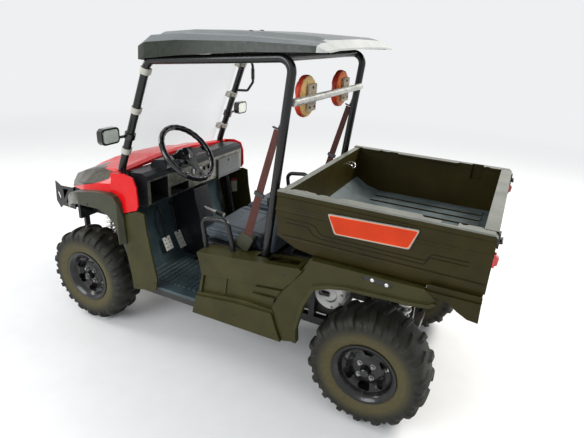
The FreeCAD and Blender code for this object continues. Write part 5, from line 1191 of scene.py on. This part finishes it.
def shrunk(corners, length):
    """A flat outline with each corner drawn towards the middle: middle + away (1 - length / reach)."""
    corners = np.asarray(corners, dtype=float)
    middle = corners.mean(axis=0)
    away = corners - middle
    return middle + away * (1 - length / np.maximum(np.abs(away), length * 2))


def make_badges():
    """Bare slanted badges on the bed's sides: grey edge, light line and orange field, one above another."""
    layers = (
        # name, how far in, how high, finish
        ("badge_rims", 0.0, 0.0016, "edge"),
        ("badge_lines", 0.004, 0.0024, "badge_line"),
        ("badge_fields", 0.0075, 0.0030, "badge"),
    )
    for name, inset, height, finish in layers:
        parts = []
        for side in (1, -1):
            corners = [(side * 0.5745, y, z) for y, z in shrunk(BADGE, inset)]
            parts.append(plate(corners, (side * (0.0065 + height), 0, 0), 0.010, 0.0008))
        add_mesh(name, joined(parts), finish, "bed")


def make_bed_fittings():
    """Tie-down loops on the bed's front wall: a wire carried along a smooth low arch."""
    arch = np.array(((-0.032, 0.530, 1.105), (-0.030, 0.552, 1.100), (-0.018, 0.558, 1.082),
                     (0.018, 0.558, 1.082), (0.030, 0.552, 1.100), (0.032, 0.530, 1.105)))
    loops = [pipe(smooth_line(arch + (x, 0, 0), 8), 0.0045, 10) for x in (-0.36, 0.36)]
    add_mesh("tie_loops", joined(loops), "zinc", "bed")


OUTSIDE = 0.9        # where rays towards the sides start, across
SIDE_LINES = (
    # along and up, on the bed's side
    ((0.526, 1.040), (0.668, 1.040), (0.697, 1.030), (0.714, 1.004), (0.740, 0.994), (1.218, 0.994),
     (1.243, 1.030), (1.398, 1.033)),
    ((0.530, 1.019), (0.655, 1.019), (0.686, 0.986), (0.722, 0.974), (1.214, 0.974), (1.232, 1.012),
     (1.398, 1.014)),
    ((0.520, 0.9495), (1.470, 0.9495)),
)


def make_side_lines():
    """Painted shade in the pressed lines of the bed's sides: thin dark rods carried along bent lines laid
    on the side's face.
    """
    parts = []
    for line in SIDE_LINES:
        bend = np.asarray(line)
        run = np.concatenate([[0], np.cumsum(np.linalg.norm(np.diff(bend, axis=0), axis=1))])
        steps = np.linspace(0, run[-1], int(run[-1] / 0.012))
        along, up = np.interp(steps, run, bend[:, 0]), np.interp(steps, run, bend[:, 1])
        for side in (1, -1):
            hits = [on_surface("bed_tub", (side * OUTSIDE, y, z), (-side, 0, 0)) for y, z in zip(along, up)]
            path = np.array([hit[0] for hit in hits if hit is not None and abs(hit[0][0]) > 0.55])
            radius = np.full(len(path), 0.0019)
            radius[0] = radius[-1] = 0.0005
            parts.append(pipe(path + np.array((side * 0.0001, 0, 0)), radius, 8))
    # dark rods: painted shade along the pressed lines
    add_mesh("bed_side_crease_shades", joined(parts), "bed_crease_shade", "bed")


def make_slot_fittings():
    """Painted shade in the slots of the rear fenders, with two screws each, and in the slot of the round
    cover, with its bolts.

    The painted shades are thin dark rounded plates on the faces that rays meet; five bolts stand on a
    circle of 74 mm.
    """
    circle_y, circle_z, circle = 0.715, 0.540, 0.074
    outline = ((0.958, 0.861), (0.958, 0.847), (0.972, 0.839), (1.082, 0.832), (1.095, 0.838),
               (1.095, 0.849), (1.080, 0.855), (0.975, 0.863))
    slots, screws = [], []
    for side in (1, -1):
        x = on_surface("rear_fenders", (side * OUTSIDE, 0.935, 0.852), (-side, 0, 0))[0][0]
        corners = [(x - side * 0.0006, y, z) for y, z in outline]
        # painted shade: a dark plate over each fender slot stands for the shade in its hollow
        slots.append(plate(corners, (side * 0.0012, 0, 0), 0.006, 0.0003))
        for y, z in ((1.006, 0.8495), (1.074, 0.8435)):
            screws.append(button_screw((x + side * 0.0004, y, z), (side, 0, 0), 0.0095))
    add_mesh("fender_slot_shades", joined(slots), "boot")
    add_mesh("fender_screws", joined(screws), "silver", angle=30)
    x = on_surface("clutch_cover", (0.6, 0.682, 0.540), (-1, 0, 0))[0][0] - 0.0002
    corners = [(x, 0.652, 0.527), (x, 0.712, 0.527), (x, 0.712, 0.553), (x, 0.652, 0.553)]
    # painted shade: a dark plate over the cover's slot
    add_mesh("cover_slot_shade", plate(corners, (0.001, 0, 0), 0.012, 0.0003), "boot")
    bolts = []
    for degrees in (-75, -30, 15, 60, 105):
        turn = math.radians(degrees)
        start = (0.6, circle_y + circle * math.cos(turn), circle_z + circle * math.sin(turn))
        hit = on_surface("clutch_cover", start, (-1, 0, 0))
        if hit is not None:
            bolts.append(hex_bolt(hit[0] - hit[1] * 0.0003, hit[1], 0.0052, 0.005))
    add_mesh("cover_bolts", joined(bolts), "bolt", angle=25)


def make_tail_lip():
    """Upright lip on each fender's tail, outside the bed's side: a rounded outline raised by 3 mm."""
    parts = []
    for side in (1, -1):
        x = side * 0.5875
        corners = [(x, 1.2465, 0.862), (x, 1.475, 0.862), (x, 1.474, 0.898), (x, 1.250, 0.896)]
        parts.append(plate(corners, (side * 0.003, 0, 0), 0.006, 0.0008))
    add_mesh("tail_lips", joined(parts), "bed")


PANEL_SCREWS = (
    # name, node, places as along and up
    ("leg_screws", "leg_panels", ((-0.545, 0.780), (-0.420, 0.848), (-0.385, 0.842), (-0.330, 0.420),
                                  (-0.470, 0.360))),
    ("rocker_screws", "rockers", ((0.075, 0.700), (0.330, 0.700), (0.560, 0.745), (0.020, 0.372),
                                  (0.520, 0.385), (0.270, 0.420))),
    ("flare_screws", "front_flares", ((-1.150, 0.800), (-0.980, 0.860), (-0.780, 0.850),
                                      (-0.640, 0.740))),
)


def make_screws():
    """Screws on the sides' panels, each turned, and seated on the face that a ray from outside meets."""
    for name, node, places in PANEL_SCREWS:
        parts = []
        for side in (1, -1):
            for y, z in places:
                hit = on_surface(node, (side * OUTSIDE, y, z), (-side, 0, 0))
                if hit is not None and abs(hit[0][0]) > 0.5:
                    parts.append(button_screw(hit[0] - hit[1] * 0.0004, hit[1], 0.006))
        add_mesh(name, joined(parts), "boot", angle=30)


ROOF_PLUG_SIGHTS = ((250.8, 30.0), (261.9, 30.7))


def make_roof_plugs():
    """Two dark turned plugs on the roof's top, where sight lines of the camera meet it."""
    profile = [(-0.001, 0.014), (0.003, 0.013), (0.005, 0.009), (0.005, 0)]
    parts = []
    for across, down in ROOF_PLUG_SIGHTS:
        hits = [on_surface("roof", CAMERA_PLACE, sight(across, down + lower), reach=6.0)
                for lower in (0.0, 1.0, 2.0, 3.0)]
        place, normal = next(hit for hit in hits if hit is not None)
        parts.append(turned(profile, place, normal, 20))
    add_mesh("roof_plugs", joined(parts), "black")


# Camera, light and floor

CAMERA_PLACE = (2.463, 1.457, 1.891)
CAMERA_YAW, CAMERA_PITCH, CAMERA_ROLL = math.radians(-64.9), math.radians(-22.1), math.radians(3.1)
CAMERA_LENS, SENSOR = 28.77, 36.0
PICTURE = (584, 438)
BACKGROUND = (0.86, 0.87, 0.88, 1.0)


def camera_axes():
    """Right, up and ahead of the camera where the photograph was taken, from its yaw, pitch and roll."""
    level = math.cos(CAMERA_PITCH)
    ahead = Vector((math.sin(CAMERA_YAW) * level, -math.cos(CAMERA_YAW) * level, math.sin(CAMERA_PITCH)))
    right = ahead.cross(Vector((0, 0, 1))).normalized()
    up = right.cross(ahead)
    c, s = math.cos(CAMERA_ROLL), math.sin(CAMERA_ROLL)
    return right * c + up * s, up * c - right * s, ahead


def sight(across, down):
    """Way of the sight line through a point of the picture: ahead + right and up by its share."""
    right, up, ahead = camera_axes()
    reach = 466.73   # the lens in points of the picture
    return ahead + right * ((across - PICTURE[0] / 2) / reach) - up * ((down - PICTURE[1] / 2) / reach)


def place_camera():
    """Camera where the photograph was taken."""
    right, up, ahead = camera_axes()
    data = bpy.data.cameras.new("camera")
    data.lens = CAMERA_LENS
    data.sensor_width = SENSOR
    data.clip_end = 200.0
    camera = bpy.data.objects.new("camera", data)
    bpy.context.scene.collection.objects.link(camera)
    turn = Matrix((right, up, -ahead)).transposed().to_4x4()
    camera.matrix_world = Matrix.Translation(Vector(CAMERA_PLACE)) @ turn
    bpy.context.scene.camera = camera


def area_light(name, place, target, size, power, color):
    """Oblong soft light at a place, turned to a target."""
    data = bpy.data.lights.new(name, "AREA")
    data.shape = "RECTANGLE"
    data.size, data.size_y = size
    data.energy = power
    data.color = color
    obj = bpy.data.objects.new(name, data)
    bpy.context.scene.collection.objects.link(obj)
    aim = Vector(target) - Vector(place)
    obj.matrix_world = Matrix.Translation(Vector(place)) @ aim.to_track_quat("-Z", "Y").to_matrix().to_4x4()


def background_rays(tree):
    """1 for rays that show the background: those of the camera, of gloss and through clear sheets."""
    seen = tree.nodes.new("ShaderNodeLightPath")
    either = math_node(tree, "MAXIMUM", seen.outputs["Is Camera Ray"], seen.outputs["Is Glossy Ray"])
    return math_node(tree, "MAXIMUM", either, seen.outputs["Is Transmission Ray"])


def floor_material():
    """Pale floor that fades into the plain surroundings with distance, for what the camera sees."""
    mat = material("studio_floor", (0.80, 0.80, 0.79), 0.9, mottle=0.02)
    tree = mat.node_tree
    out = next(node for node in tree.nodes if node.type == "OUTPUT_MATERIAL")
    shader = next(node for node in tree.nodes if node.type == "BSDF_PRINCIPLED")
    coords = tree.nodes.new("ShaderNodeTexCoord")
    length = tree.nodes.new("ShaderNodeVectorMath")
    length.operation = "LENGTH"
    tree.links.new(coords.outputs["Object"], length.inputs[0])
    far = range_node(tree, length.outputs["Value"], 2.6, 9.0, 0.0, 1.0)
    share = math_node(tree, "MULTIPLY", far.outputs["Result"], background_rays(tree))
    plain = tree.nodes.new("ShaderNodeEmission")
    plain.inputs["Color"].default_value = BACKGROUND
    mix = tree.nodes.new("ShaderNodeMixShader")
    tree.links.new(share, mix.inputs[0])
    tree.links.new(shader.outputs[0], mix.inputs[1])
    tree.links.new(plain.outputs[0], mix.inputs[2])
    tree.links.new(mix.outputs[0], out.inputs[0])
    return mat


def place_studio():
    """Pale floor, even surroundings, a soft key from behind the right side, and two fills."""
    mesh = bpy.data.meshes.new("floor")
    reach = 40.0
    mesh.from_pydata([(-reach, -reach, 0), (reach, -reach, 0), (reach, reach, 0), (-reach, reach, 0)], [],
                     [(0, 1, 2, 3)])
    floor = bpy.data.objects.new("studio_floor", mesh)
    bpy.context.scene.collection.objects.link(floor)
    mesh.materials.append(floor_material())
    world = bpy.data.worlds.new("studio")
    bpy.context.scene.world = world
    world.use_nodes = True
    background = world.node_tree.nodes["Background"]
    background.inputs["Color"].default_value = (0.93, 0.96, 1.0, 1.0)
    background.inputs["Strength"].default_value = 0.75
    tree = world.node_tree
    plain = tree.nodes.new("ShaderNodeBackground")
    plain.inputs["Color"].default_value = BACKGROUND
    mix = tree.nodes.new("ShaderNodeMixShader")
    tree.links.new(background_rays(tree), mix.inputs[0])
    tree.links.new(background.outputs[0], mix.inputs[1])
    tree.links.new(plain.outputs[0], mix.inputs[2])
    tree.links.new(mix.outputs[0], tree.nodes["World Output"].inputs["Surface"])
    area_light("key", (-3.2, 3.6, 5.2), (0, 0.3, 0.7), (2.6, 2.6), 420, (1.0, 0.97, 0.92))
    area_light("fill", (4.6, -1.6, 3.0), (0, -0.1, 0.7), (3.0, 2.4), 150, (0.95, 0.97, 1.0))
    area_light("front", (1.0, -5.0, 3.4), (0, -0.8, 0.8), (2.4, 2.0), 110, (1.0, 0.98, 0.95))
    bpy.context.scene.view_settings.view_transform = "Standard"


dress_nodes()
paint_nodes()
make_wheels()
make_dampers()
make_boots()
make_pads()
make_belts()
make_buckles()
make_wheel_hub()
make_gauge()
make_dash_controls()
make_lever_grip()
make_mirror_glass()
make_handle_sleeve()
make_pad_screws()
make_labels()
make_badges()
make_bed_fittings()
make_screws()
make_side_lines()
make_slot_fittings()
make_tail_lip()
make_roof_plugs()
place_camera()
place_studio()
